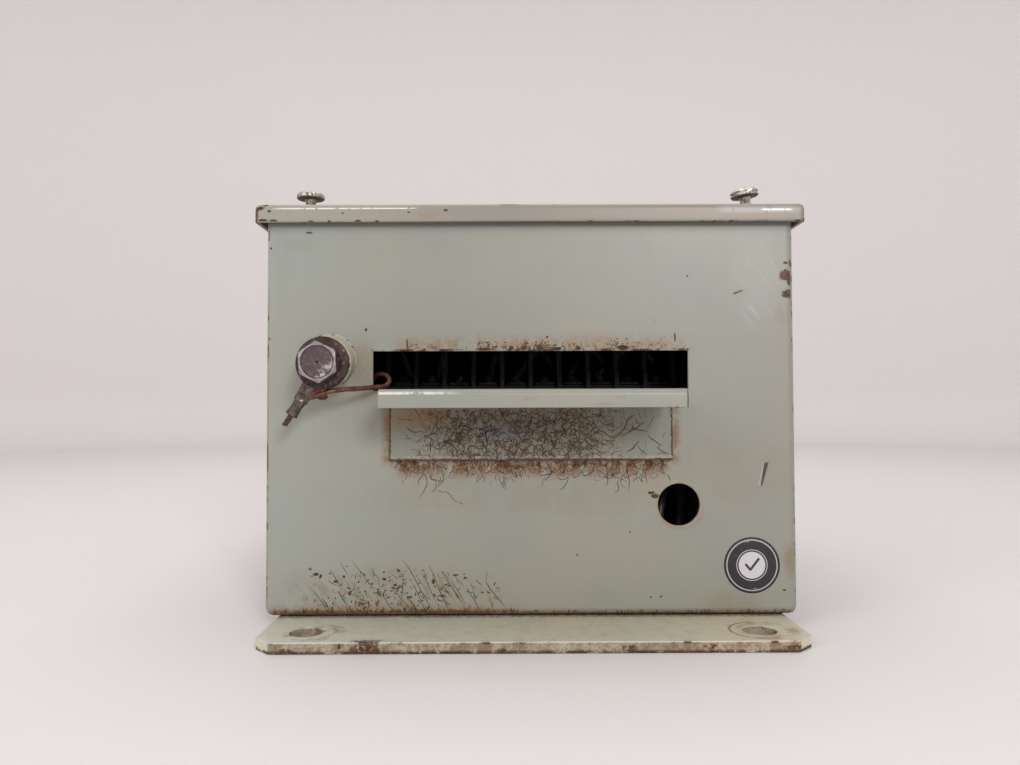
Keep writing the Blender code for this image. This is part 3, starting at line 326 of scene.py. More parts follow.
def tub_paint():
    look = paint("tub_paint")
    front = front_of(look, FACE_Y)
    # Darker towards the bottom, less so on the far left: partly painted shade, partly grime
    look.layer(look.z.fall(0, 110 * MM) * look.x.rise(-110 * MM, -20 * MM) * 0.40,
               shade(SAGE, 0.86, 0.85, 0.80))
    # Painted light: the left of the front lighter and cooler
    look.layer(look.x.fall(-100 * MM, -30 * MM) * front * 0.5, shade(SAGE, 1.10, 1.22, 1.30))
    # Painted shade: the right of the front darker, below the top
    look.layer(look.x.rise(20 * MM, 90 * MM) * look.z.fall(120 * MM, 150 * MM) * front * 0.5,
               shade(SAGE, 0.88, 0.88, 0.90))
    # Faint water stains and warm clouds
    runs = look.noise(7, 3, 0.6, at=look.spot(z=look.z * 0.12))
    stain_over(look, runs.rise(0.55, 0.80) * look.z.rise(60 * MM, 150 * MM) * 0.12)
    cloud = look.noise(9, 5, 0.7, at=look.spot(z=look.z * 0.6))
    grit = look.noise(1.6, 5, 0.75)
    for x, z, half_x, half_z, much in (
        (-88, 145, 5, 2.4, 0.16), (49.5, 116, 2.5, 1.4, 0.40), (-63, 98, 4, 12, 0.45), (-60, 88, 8, 3, 0.30),
        (-77, 87, 9, 3.5, 0.16), (98, 25, 3, 5, 0.75), (76, 9, 10, 4, 0.40), (96, 118, 3, 3, 0.35),
        (0, 50, 60, 7, 0.25), (-60, 16, 36, 7, 0.20), (75, 60, 26, 12, 0.18),
    ):
        blot = look.patch(x, z, half_x, half_z, 0.9, 6, 0.6)
        stain_over(look, blot * front * cloud.rise(0.30, 0.60) * much)
    # Brown speckle above the cable slot, thickest on its edge
    above = look.z.within(SLOT_HIGH, 112.5 * MM, 2.0 * MM)
    above = above * (look.x - 4 * MM).within(-54 * MM, 56 * MM, 5 * MM) * front
    brown = above * (cloud * 0.5 + grit * 0.5).rise(0.40, 0.57) * look.z.fall(105 * MM, 113 * MM)
    stain_over(look, brown * 0.85, (0.250, 0.145, 0.060))
    rust_over(look, above * grit.rise(0.63, 0.67) * look.z.fall(106 * MM, 113 * MM), 0.6)
    rim = look.z.within(104.0 * MM, 105.3 * MM, 0.25 * MM) * abs(look.x).fall(60 * MM, 61 * MM) * front
    rust_over(look, rim * look.noise(6, 6, 0.7).rise(0.46, 0.54), 1.0)
    mask = look.blots(0.10, (
        (-17.3, 105.2, 3.0, 0.5), (-7.4, 105.5, 0.9, 0.8), (-2.5, 105.6, 1.0, 0.9), (3.6, 105.7, 1.3, 1.1),
        (10.0, 105.3, 1.6, 0.6), (18.1, 105.4, 1.1, 0.7), (35.2, 105.7, 1.8, 0.9), (-47.0, 107.0, 0.3, 2.2),
        (55.1, 109.6, 0.3, 1.8), (6.3, 109.8, 0.5, 0.4), (-33.0, 105.0, 1.0, 0.4), (-40.5, 105.2, 0.6, 0.4),
        (97.6, 133.2, 2.3, 2.0), (99.4, 131.4, 1.4, 2.2), (98.6, 126.2, 2.5, 1.7), (97.8, 138.0, 1.0, 0.5),
        (99.6, 138.2, 0.5, 1.4), (100.2, 25.0, 0.5, 2.0), (-79.3, 86.8, 1.7, 0.8), (-78.0, 87.3, 0.9, 1.0),
        (46.9, 49.3, 1.4, 1.0), (45.6, 50.5, 1.3, 0.6), (45.1, 11.3, 0.35, 0.35), (48.9, 11.5, 0.35, 0.35),
        (17.3, 27.2, 0.35, 0.35), (37.4, 35.7, 0.3, 0.3), (95.6, 13.7, 0.7, 0.35), (-99.6, 109.3, 0.7, 0.5),
        (-98.9, 144.0, 0.4, 0.4), (-84.4, 150.0, 1.2, 0.4), (60.0, 133.0, 0.35, 0.35),
        (-62.6, 112.7, 0.4, 0.7), (-81.3, 20.3, 1.1, 0.6), (-79.6, 19.6, 0.5, 0.8), (-73.7, 17.6, 0.9, 0.5),
        (-70.8, 19.4, 0.5, 0.5), (-83.4, 22.2, 0.6, 0.3), (-55.6, 18.4, 0.8, 0.5), (-51.5, 16.2, 0.6, 0.5),
        (-37.0, 17.4, 0.6, 0.9), (-25.2, 18.6, 0.5, 0.5), (-28.6, 19.8, 0.9, 0.4), (-60.2, 16.6, 0.5, 0.4),
        (-46.0, 11.6, 1.0, 0.5), (-63.8, 9.2, 0.9, 0.5), (-33.5, 12.0, 0.8, 0.5), (-68.6, 13.0, 0.6, 0.9),
        (-50.0, 21.5, 0.5, 0.5),
    ))
    rust_over(look, mask * front, 0.85)
    # Halo beside and below the support's foot
    beside = abs(look.x).within(53 * MM, 56.2 * MM, 1.6 * MM)
    beside = beside * look.z.within(61.5 * MM, 90 * MM, 2 * MM) * front
    stain_over(look, beside * look.noise(6, 6, 0.7).rise(0.34, 0.54) * 0.85, (0.200, 0.100, 0.034))
    drips = look.noise(3.2, 4, 0.7, at=look.spot(z=look.z * 0.35))
    below = look.z.within(57.2 * MM, 63.5 * MM, 2.6 * MM) * abs(look.x).fall(46 * MM, 55 * MM) * front
    stain_over(look, below * (drips * 0.6 + grit * 0.4).rise(0.34, 0.55) * 0.95, (0.180, 0.090, 0.030))
    near = look.z.within(60.2 * MM, 63.5 * MM, 1.2 * MM) * abs(look.x).fall(50 * MM, 55 * MM) * front
    rust_over(look, near * (drips * 0.5 + grit * 0.5).rise(0.46, 0.60), 0.3)
    hole = look.ring(HOLE_X + 0.9 * MM, HOLE_Z - 0.9 * MM, 8.2 * MM, 1.2 * MM)
    hole = hole * cloud.rise(0.38, 0.60) * front
    stain_over(look, hole * 0.45, (0.270, 0.155, 0.065))
    # Rust that creeps up from the bottom edge
    creep = look.noise(4, 6, 0.75, at=look.spot(z=look.z * 0.7))
    left = look.x.within(-100 * MM, -8 * MM, 9 * MM) * front
    glow = look.z.fall(4.5 * MM, 10.5 * MM) * left + look.z.fall(4.4 * MM, 7.4 * MM) * 0.8
    stain_over(look, glow * creep.rise(0.30, 0.56), (0.235, 0.105, 0.034))
    # Warm halos that run with the slanting cracks
    slope = look.spot(x=look.x * 0.857 + look.z * 0.515, z=(look.z * 0.857 - look.x * 0.515) * 0.22)
    halo = look.noise(2.6, 4, 0.65, at=slope).rise(0.50, 0.62)
    zone = look.patch(-51, 13, 31, 7.5, 0.6, 6, 0.5) * front
    stain_over(look, halo * zone * 0.50, (0.190, 0.118, 0.050))
    rust_over(look, zone * cloud.rise(0.44, 0.56) * grit.rise(0.54, 0.60) * 0.9, 0.3)
    rust_over(look, look.z.fall(4.9 * MM, 5.6 * MM + left * (1.2 * MM)) * grit.rise(0.34, 0.46), 0.7)
    rust_over(look, look.z.fall(4.6 * MM, 5.1 * MM), 1.0)
    # Slanting scuffs at the upper right, a dash and a gouge
    slant = look.spot(x=look.x * 0.80 + look.z * 0.60, z=(look.z * 0.80 - look.x * 0.60) * 0.08)
    strokes = look.noise(1.4, 4, 0.7, at=slant).rise(0.56, 0.72)
    area = look.patch(88, 133, 9, 15, 0.7, 6, 0.7) * front
    look.layer(strokes * area * 0.45 + area * 0.16, (0.430, 0.445, 0.420), 0.45)
    right, up = look.x - 79.3 * MM, look.z - 126.8 * MM
    along = right * 0.93 + up * 0.36
    across = up * 0.93 - right * 0.36
    dash = abs(along).fall(1.5 * MM, 2.4 * MM) * abs(across).fall(0.15 * MM, 0.55 * MM)
    dash = dash * grit.rise(0.30, 0.50)
    look.layer(dash * front, DIRT, 0.7)
    up = look.z - 57.4 * MM
    lean = (look.x - 88.4 * MM) - up * 0.22
    gouge = abs(up).fall(3.9 * MM, 4.9 * MM)
    wide = 0.55 * MM + up * 0.06
    look.layer(gouge * abs(lean).fall(wide * 0.7, wide * 1.3) * front, (0.050, 0.043, 0.030), 0.6,
               height=-0.1 * MM)
    look.layer(gouge * abs(lean + 1.0 * MM).fall(0.10 * MM, 0.40 * MM) * front * 0.5, (0.42, 0.43, 0.40), 0.4)
    # Painted highlight along the left edge, painted shadow under the lid, and grime at the right edge
    corner = look.y.fall(FACE_Y + 0.8 * MM, FACE_Y + 1.6 * MM)
    edge_highlight = look.x.fall(-100.3 * MM, -99.7 * MM) * look.z.rise(118 * MM, 144 * MM) * corner
    look.layer(edge_highlight * look.noise(8, 4, 0.7, at=look.spot(z=look.z * 0.4)).rise(0.36, 0.52),
               (0.78, 0.78, 0.74), 0.30)
    # Painted shadow under the lid's lip, all round
    look.layer(look.z.rise(149 * MM, 153.6 * MM) * 0.55, shade(SAGE, 0.42, 0.46, 0.50), 0.6)
    look.layer(look.x.rise(99.3 * MM, 100.6 * MM) * front * look.noise(6, 6, 0.7).rise(0.40, 0.60) * 0.5,
               STAIN)
    edge = look.x.rise(99.9 * MM, 100.5 * MM) * look.z.fall(128 * MM, 148 * MM) * front
    rust_over(look, edge * grit.rise(0.50, 0.58) * 0.8, 0.6)
    # The other three sides: knocks, runs, scratches, and rust along the corners
    elsewhere = 1.0 - front
    stain_over(look, runs.rise(0.50, 0.76) * elsewhere * 0.28)
    scratch = look.noise(2.2, 3, 0.6, at=look.spot(
        x=look.x * 0.08, y=(look.y + look.z) * 0.08, z=look.z - look.y * 0.6 - look.x * 0.6))
    look.layer(scratch.rise(0.66, 0.72) * elsewhere * 0.35, (0.420, 0.435, 0.410), 0.45)
    half_long = (TUB_HIGH.y - TUB_LOW.y) / 2
    to_end = abs(look.y - (TUB_LOW.y + TUB_HIGH.y) / 2)
    corner_y = to_end.rise(half_long - 2.0 * MM, half_long - 0.8 * MM)
    upright = abs(look.x).rise(TUB_HIGH.x - 2.0 * MM, TUB_HIGH.x - 0.8 * MM) * corner_y
    rust_over(look, upright * look.noise(6, 6, 0.7).rise(0.53, 0.58) * elsewhere, 0.5)
    rust_over(look, look.noise(14, 6, 0.8).rise(0.655, 0.68) * elsewhere, 0.6)
    return look.finish(IOR=1.5)


def cover_paint():
    tint = (0.248, 0.220, 0.181)
    look = paint("cover_paint", tint)
    top = look.z.rise(159.8 * MM, 160.2 * MM)
    side = 1.0 - top
    front = front_of(look, COVER_LOW.y, 2 * MM)
    grit = look.noise(1.6, 5, 0.75)
    chips = look.noise(6, 6, 0.8)
    low = look.z.fall(153.4 * MM, 154.0 * MM)
    # Darker along the lid's lower edge: painted shade
    look.layer(look.z.fall(153.3 * MM, 154.6 * MM) * 0.45, shade(tint, 0.55, 0.55, 0.55), 0.6)
    rust_over(look, low * chips.rise(0.56, 0.60), 1.0)
    # Painted light: the left of the lid's front lighter
    look.layer(front * look.x.fall(-90 * MM, 10 * MM) * 0.75, (0.325, 0.315, 0.266))
    mask = look.blots(0.10, (
        (-83.0, 153.6, 0.9, 0.3), (-76.0, 153.6, 0.7, 0.3), (-65.2, 153.7, 1.2, 0.35),
        (-58.0, 153.6, 0.9, 0.3), (-101.8, 158.6, 1.2, 0.8), (-103.6, 156.0, 0.7, 1.9),
        (-101.0, 154.0, 1.7, 0.5), (-71.0, 156.6, 0.4, 0.3), (-100.2, 159.9, 1.0, 0.6),
        (-46.0, 156.9, 0.5, 0.3), (-8.0, 160.0, 4.0, 0.3), (9.0, 160.1, 1.6, 0.2), (-32.0, 157.6, 0.8, 0.4),
        (104.0, 154.0, 0.6, 0.7), (101.5, 153.6, 1.4, 0.3), (-103.2, 158.0, 0.9, 0.9),
        (-98.6, 157.4, 0.8, 0.4), (-97.0, 153.9, 1.5, 0.4), (-103.9, 153.8, 0.7, 0.9),
    ))
    rust_over(look, mask * front, 0.7)
    stain_over(look, look.patch(-38, 155.6, 4, 1.2, 0.8, 1.6, 0.5) * front * 0.5, (0.300, 0.190, 0.120))
    # Rubbed paint and a painted highlight along the upper bend, in broken runs, and a painted sheen at the
    # right
    middle = 158.4 * MM - look.x.rise(0, 60 * MM) * (0.7 * MM)
    edge = abs(look.z - middle).fall(0.10 * MM, 0.38 * MM + look.x.rise(0, 60 * MM) * (0.2 * MM)) * front
    wear_and_sheen = look.noise(2.4, 5, 0.7, at=look.spot(z=look.z * 0.5)).rise(0.36, 0.48)
    runs = look.x.within(-96 * MM, -44 * MM, 3 * MM).most(look.x.within(88 * MM, 99 * MM, 1.2 * MM))
    look.layer(edge * wear_and_sheen * runs, (0.80, 0.78, 0.74), 0.25)
    painted_sheen = look.x.within(72 * MM, 101 * MM, 3 * MM) * look.z.within(156.6 * MM, 159.4 * MM, 0.8 * MM) * front
    look.layer(painted_sheen * wear_and_sheen * 0.35, (0.44, 0.45, 0.47), 0.35)
    look.layer(look.x.fall(-103.6 * MM, -102.4 * MM) * side * grit.rise(0.44, 0.56) * 0.7,
               shade(tint, 0.6, 0.55, 0.5), 0.7)
    # Rubbed and dusty top, with rust round the screws
    look.layer(top * look.noise(30, 5, 0.7).rise(0.40, 0.75) * 0.35, (0.40, 0.38, 0.33), 0.6)
    for x in (-SCREW_X, SCREW_X):
        for y in (-SCREW_Y, SCREW_Y):
            away = look.away(x, y, "y")
            ragged = away + (look.noise(2.4, 5, 0.7) - 0.5) * (5 * MM)
            rust_over(look, ragged.fall(5.6 * MM, 6.6 * MM) * top, 0.7)
    rust_over(look, look.noise(14, 6, 0.8).rise(0.665, 0.69) * (1.0 - front), 0.6)
    return look.finish(IOR=1.5)


def bar_paint():
    look = paint("bar_paint", (0.580, 0.545, 0.420))
    top = look.z.rise(3.3 * MM, 3.8 * MM)
    end = look.y.fall(BAR_LOW.y + 0.2 * MM, BAR_LOW.y + 0.8 * MM) * (1.0 - top)
    chips = look.noise(6, 6, 0.8)
    grit = look.noise(1.6, 5, 0.75)
    # Painted highlight: the left of the bar's top lighter and cooler
    look.layer(top * look.x.fall(-60 * MM, 20 * MM) * 0.6, (0.580, 0.600, 0.530))
    look.layer(top * chips.rise(0.45, 0.65) * 0.35, (0.400, 0.335, 0.225))
    look.layer(end * (0.55 + 0.45 * chips.rise(0.40, 0.60)), (0.215, 0.172, 0.112), 0.6)
    stain_over(look, end * grit.rise(0.46, 0.62) * 0.75, (0.150, 0.094, 0.045))
    rust_over(look, look.z.fall(0.5 * MM, 1.5 * MM) * chips.rise(0.38, 0.50), 1.0)
    edge = look.z.within(3.2 * MM, 3.9 * MM, 0.25 * MM) * chips.rise(0.56, 0.60)
    rust_over(look, edge * look.y.fall(-142.0 * MM, -141.4 * MM), 0.8)
    mask = look.blots(0.12, (
        (-57.0, 1.9, 5.4, 2.0), (31.9, 1.6, 3.0, 1.2), (59.6, 2.2, 2.6, 0.9), (-66.0, 2.6, 0.6, 0.8),
        (-11.0, 1.2, 1.4, 0.6), (88.0, 1.6, 3.0, 1.0), (-84.0, 1.2, 2.0, 0.8),
    ))
    crumbs = (grit * 0.6 + chips * 0.4).rise(0.43, 0.50)
    rust_over(look, mask * (0.15 + 0.85 * crumbs) * look.y.fall(-142.0 * MM, -141.0 * MM), 0.4)
    spill = look.x.within(-62 * MM, -52 * MM, 2 * MM) * look.y.fall(-141.0 * MM, -138.6 * MM) * top
    rust_over(look, spill * grit.rise(0.42, 0.56), 0.4)
    behind = look.y.within(FACE_Y - 0.6 * MM, FACE_Y + 8 * MM, 0.3 * MM) * top
    rust_over(look, behind * grit.rise(0.40, 0.60) * 0.6, 0.3)
    for x in (-BAR_HOLE_X, BAR_HOLE_X):
        ring = look.ring(x, BAR_HOLE_Y, 10.4 * MM, 0.7 * MM, "y") * top
        arc = look.x.fall(x - 2 * MM, x + 4 * MM) if x > 0 else look.x.rise(x, x + 6 * MM) * 0.4
        look.layer(ring * arc * grit.rise(0.30, 0.52) * 0.8, (0.160, 0.140, 0.110), 0.6, height=-0.05 * MM)
        rim = look.ring(x, BAR_HOLE_Y, 6.1 * MM, 0.5 * MM, "y") * top
        rust_over(look, rim * chips.rise(0.52, 0.60) * 0.7, 0.6)
        halo = look.ring(x + 3 * MM, BAR_HOLE_Y, 8.6 * MM, 3.2 * MM, "y") * top
        stain_over(look, halo * chips.rise(0.44, 0.60) * 0.6, (0.310, 0.175, 0.085))
        # The bore's wall darker and mottled: painted shade in the hole
        bore = look.away(x, BAR_HOLE_Y, "y")
        inner = look.between((0.300, 0.265, 0.200), (0.150, 0.110, 0.075), chips.rise(0.45, 0.6))
        look.layer(bore.fall(6.1 * MM, 6.3 * MM) * look.z.fall(3.5 * MM, 3.9 * MM), inner, 0.8)
    look.layer(top * look.specks(5, 0.35, 0.09), RUST_DARK, 0.8)
    return look.finish(IOR=1.5)


def support_paint():
    tint = (0.268, 0.277, 0.240)
    look = paint("support_paint", tint)
    foot = look.y.rise(FOOT_Y - 1.0 * MM, FOOT_Y - 0.2 * MM) * look.z.fall(86 * MM, 88 * MM)
    grit = look.noise(1.6, 5, 0.75)
    cloud = look.noise(6, 6, 0.7)
    # The whole foot darker: painted shade under the lip
    look.layer(foot, shade(tint, 0.76, 0.76, 0.71))
    middle = look.patch(-4, 73, 37, 15, 0.5, 6, 0.45) * foot
    look.layer(middle * (0.35 + 0.50 * cloud.rise(0.40, 0.60)), (0.150, 0.112, 0.070), 0.55)
    stain_over(look, look.patch(-43, 79, 12, 4, 0.9, 6, 0.5) * foot * 0.8, (0.215, 0.135, 0.055))
    web, _ = look.cells(2.6, "DISTANCE_TO_EDGE", at=look.spot(
        x=look.x + (grit - 0.5) * (3.5 * MM), z=look.z + (cloud - 0.5) * (7 * MM)))
    rust_over(look, middle * web.fall(0.025, 0.085) * cloud.rise(0.40, 0.52) * 0.85, 0.9)
    rust_over(look, middle * grit.rise(0.60, 0.68) * 0.8, 0.6)
    upper = look.z.rise(78 * MM, 82 * MM) * abs(look.x).fall(38 * MM, 53 * MM) * foot
    rust_over(look, upper * grit.rise(0.56, 0.62) * 0.8, 0.5)
    # Rust that eats in from the foot's three edges
    to_side = SUPPORT_HALF - abs(look.x)
    to_bottom = look.z - FOOT_LOW
    ragged = (look.noise(2.4, 5, 0.7) - 0.5) * (2.4 * MM)
    rust_over(look, (to_side.least(to_bottom) + ragged).fall(0.4 * MM, 0.9 * MM) * foot, 0.45)
    pale = to_bottom.within(0.9 * MM, 1.7 * MM, 0.3 * MM) * foot * cloud.rise(0.36, 0.50)
    look.layer(pale * 0.6, (0.330, 0.300, 0.310), 0.35)
    look.layer(look.patch(-13, 73, 6, 3.6, 0.7, 6, 0.5) * foot * 0.6, (0.130, 0.140, 0.165), 0.45)
    look.layer(foot * look.ring(-2.3 * MM, 73.3 * MM, 2.4 * MM, 0.5 * MM), (0.060, 0.055, 0.055), 0.6)
    look.layer(foot * look.patch(-2.3, 73.3, 2.2, 2.2, 0.15, 1.6, 0.2), (0.130, 0.130, 0.115), 0.4)
    # The lip: a rubbed upper edge with a painted highlight, faint rust spots and a dark end
    lip = look.y.fall(-139.6 * MM, -139.0 * MM)
    look.layer(lip * look.noise(18, 3, 0.5).rise(0.45, 0.65) * 0.35, shade(tint, 1.15, 1.05, 0.95))
    shine = look.z.within(87.6 * MM, 88.5 * MM, 0.3 * MM) * look.x.fall(-36 * MM, -22 * MM) * lip
    look.layer(shine * look.noise(2.4, 5, 0.7).rise(0.40, 0.52) * 0.8, (0.74, 0.75, 0.70), 0.25)
    for x, z, half_x, half_z in ((-1.5, 86.0, 2.4, 0.6), (25.0, 84.2, 3.0, 0.6), (30.0, 86.4, 2.0, 0.6),
                                 (-18, 87.2, 0.8, 0.3)):
        blot = look.patch(x, z, half_x, half_z, 0.9, 1.6, 0.4)
        stain_over(look, blot * lip * 0.40, (0.270, 0.180, 0.120))
    rust_over(look, lip * look.specks(6, 0.25, 0.07), 0.6)
    rust_over(look, lip * look.z.fall(83.0 * MM, 83.4 * MM) * cloud.rise(0.60, 0.66), 0.8)
    rust_over(look, lip * (SUPPORT_HALF - look.x + ragged * 0.2).fall(0.25 * MM, 0.6 * MM), 1.0)
    return look.finish(IOR=1.5)


def boss_paint():
    look = paint("boss_paint", (0.470, 0.440, 0.365))
    grit = look.noise(1.6, 5, 0.75)
    web, _ = look.cells(3.0, "DISTANCE_TO_EDGE", at=look.spot(
        x=look.x + (grit - 0.5) * (2 * MM), z=look.z + (grit - 0.5) * (2 * MM)))
    right = (look.x - EARTH_X).rise(2 * MM, 8 * MM) * (EARTH_Z - look.z).rise(-6 * MM, 6 * MM)
    rust_over(look, web.fall(0.015, 0.07) * right * grit.rise(0.42, 0.52), 0.6)
    root = look.y.rise(FACE_Y - 2.0 * MM, FACE_Y - 0.3 * MM)
    stain_over(look, look.y.rise(FACE_Y - 10 * MM, FACE_Y - 2 * MM) * right * 0.7, (0.215, 0.140, 0.085))
    rust_over(look, root * look.noise(2.4, 5, 0.7).rise(0.50, 0.58), 0.8)
    rust_over(look, look.y.fall(FACE_Y - 12.9 * MM, FACE_Y - 12.6 * MM) * grit.rise(0.46, 0.58), 0.9)
    return look.finish(IOR=1.5)


def metal(name, colour, dark, roughness, rust, bright=None):
    """Old bare or plated metal: dark in its hollows, rust in patches, and a few bright rubbed spots."""
    look = Look(name, colour, roughness, 0.85)
    look.layer(look.noise(3, 6, 0.7).rise(0.38, 0.66), dark, roughness + 0.15)
    look.layer(look.noise(0.7, 4, 0.7).rise(0.55, 0.75) * 0.5, dark, roughness + 0.25, 0.6)
    if bright:
        look.layer(look.noise(2.2, 5, 0.75, at=look.spot(x=look.x + 0.7)).rise(0.58, 0.66) * 0.8, bright,
                   0.28, 1.0)
    share = look.noise(2.0, 6, 0.75, at=look.spot(y=look.y + 0.3)).rise(1 - rust - 0.04, 1 - rust + 0.04)
    body = look.between(RUST_ORANGE, RUST_DARK, look.noise(1.2, 5, 0.7).rise(0.35, 0.62))
    look.layer(share, body, 0.9, 0.0)
    look.layer(look.noise(0.8, 5, 0.7), height=0.05 * MM)
    return look.finish()


def moulding(name, colour, roughness, dust=0.35, ior=1.5):
    """Moulded plastic: fine grain, pale dust on what faces up and darker rubbed places."""
    look = Look(name, colour, roughness)
    faces_up = look.facing_up().rise(0.2, 0.9)
    dusty = tuple(part * 0.5 + 0.13 for part in colour)
    look.layer(faces_up * look.noise(8, 5, 0.7).rise(0.35, 0.70) * dust, dusty, 0.85)
    look.layer(look.noise(20, 4, 0.6).rise(0.45, 0.70) * 0.4, tuple(part * 0.6 for part in colour),
               roughness + 0.1)
    look.layer(look.noise(0.5, 3, 0.6), height=0.02 * MM)
    return look.finish(IOR=ior)


def bolt_steel():
    """The bolt's head: a mottled purple-brown face inside a rubbed silvery rim, and dark flats."""
    look = Look("bolt_steel", (0.100, 0.075, 0.082), 0.40, 0.75)
    reach = look.away(EARTH_X, EARTH_Z)
    mottle = look.noise(1.6, 6, 0.75)
    look.layer(mottle.rise(0.46, 0.62) * 0.8, (0.170, 0.125, 0.130), 0.36)
    look.layer(look.noise(0.7, 4, 0.7).rise(0.50, 0.66) * 0.6, (0.045, 0.030, 0.036), 0.6)
    out = look.y.fall(FACE_Y - 26.0 * MM, FACE_Y - 25.2 * MM)
    lower = ((look.x - EARTH_X) - (look.z - EARTH_Z)).rise(2.2 * MM, 6.0 * MM)
    look.layer(lower * out * mottle.rise(0.44, 0.54) * reach.fall(5.4 * MM, 5.8 * MM), (0.52, 0.49, 0.52),
               0.30, 0.9)
    rim = reach.rise(5.75 * MM, 6.05 * MM) * out
    look.layer(rim * (0.55 + 0.45 * mottle.rise(0.42, 0.56)), (0.40, 0.34, 0.36), 0.36, 0.85)
    look.layer(rim * look.noise(0.7, 4, 0.7).rise(0.56, 0.66) * 0.7, (0.090, 0.055, 0.055), 0.6)
    look.layer(reach.within(5.35 * MM, 5.8 * MM, 0.15 * MM) * out * 0.7, (0.035, 0.025, 0.032), 0.6)
    look.layer(reach.fall(0.25 * MM, 0.75 * MM), (0.012, 0.008, 0.009), 0.8)
    sides = look.y.rise(FACE_Y - 25.6 * MM, FACE_Y - 25.2 * MM)
    look.layer(sides * 0.75, (0.070, 0.040, 0.038), 0.6, 0.5)
    look.layer(look.noise(0.7, 4, 0.7), height=0.06 * MM)
    return look.finish()


def screw_steel():
    """A cover screw: rubbed on its rim, brown in its recess and its neck, with brown painted shade under its
    head.
    """
    look = Look("screw_steel", (0.66, 0.62, 0.57), 0.34, 0.85)
    mottle = look.noise(1.6, 6, 0.75)
    look.layer(mottle.rise(0.46, 0.60) * 0.70, (0.260, 0.200, 0.145), 0.5)
    look.layer(mottle.rise(0.56, 0.62) * 0.9, (0.115, 0.058, 0.032), 0.8, 0.2)
    streak = look.noise(0.8, 3, 0.6, at=look.spot(z=look.z * 0.15))
    look.layer(streak.rise(0.52, 0.60) * 0.6, (0.090, 0.070, 0.052), 0.6)
    # Darker and browner where it faces down: painted shade under the head
    down = look.facing_up().fall(-0.9, -0.4)
    look.layer(down * 0.8, (0.130, 0.078, 0.046), 0.6, 0.4)
    look.layer(look.noise(0.7, 4, 0.7), height=0.05 * MM)
    return look.finish()


def thread_rust(name="thread_rust", colour=(0.040, 0.023, 0.012)):
    look = Look(name, colour, 0.9)
    look.layer(look.noise(9, 4, 0.6).rise(0.48, 0.60) * 0.8, (0.110, 0.053, 0.021))
    look.layer(look.noise(1.2, 4, 0.7).rise(0.56, 0.66) * 0.7, (0.022, 0.012, 0.011))
    look.layer(look.noise(0.4, 3, 0.6), height=0.03 * MM)
    return look.finish()


def label_print():
    """A dark round label with a pale hub, two pale rings and a plain tick, scratched through in places."""
    look = Look("label_print", (0.0085, 0.0085, 0.0115), 0.5)
    pale = (0.560, 0.540, 0.560)
    across, up = look.x - LABEL_X, look.z - LABEL_Z
    reach = (across * across + up * up).root()
    look.layer(reach.within(9.3 * MM, 9.7 * MM, 0.1 * MM) * 0.8, pale)
    look.layer(reach.fall(4.95 * MM, 5.15 * MM), pale)
    look.layer(reach.within(5.6 * MM, 5.9 * MM, 0.08 * MM) * 0.8, pale)
    # A plain tick on the hub
    tick = None
    for x, z, slope, half in ((-1.5, -0.7, -50, 1.45), (1.0, 0.35, 52, 2.75)):
        cos, sin = math.cos(math.radians(slope)), math.sin(math.radians(slope))
        along = (across - x * MM) * cos + (up - z * MM) * sin
        beside = (up - z * MM) * cos - (across - x * MM) * sin
        stroke = abs(along).fall(half * MM, (half + 0.15) * MM) * abs(beside).fall(0.38 * MM, 0.55 * MM)
        tick = stroke if tick is None else tick.most(stroke)
    look.layer(tick * reach.fall(4.4 * MM, 4.6 * MM), (0.020, 0.020, 0.024))
    scratch = look.noise(2.5, 4, 0.7, at=look.spot(z=look.z * 5.0, x=look.x * 0.35)).rise(0.66, 0.69)
    look.layer(scratch * reach.rise(6 * MM, 8 * MM) * 0.9, (0.42, 0.42, 0.40))
    look.layer(look.noise(1.1, 4, 0.6).rise(0.50, 0.70) * 0.12, STAIN, 0.6)
    look.layer(look.noise(0.5, 3, 0.6), height=0.01 * MM)
    return look.finish(IOR=1.5)


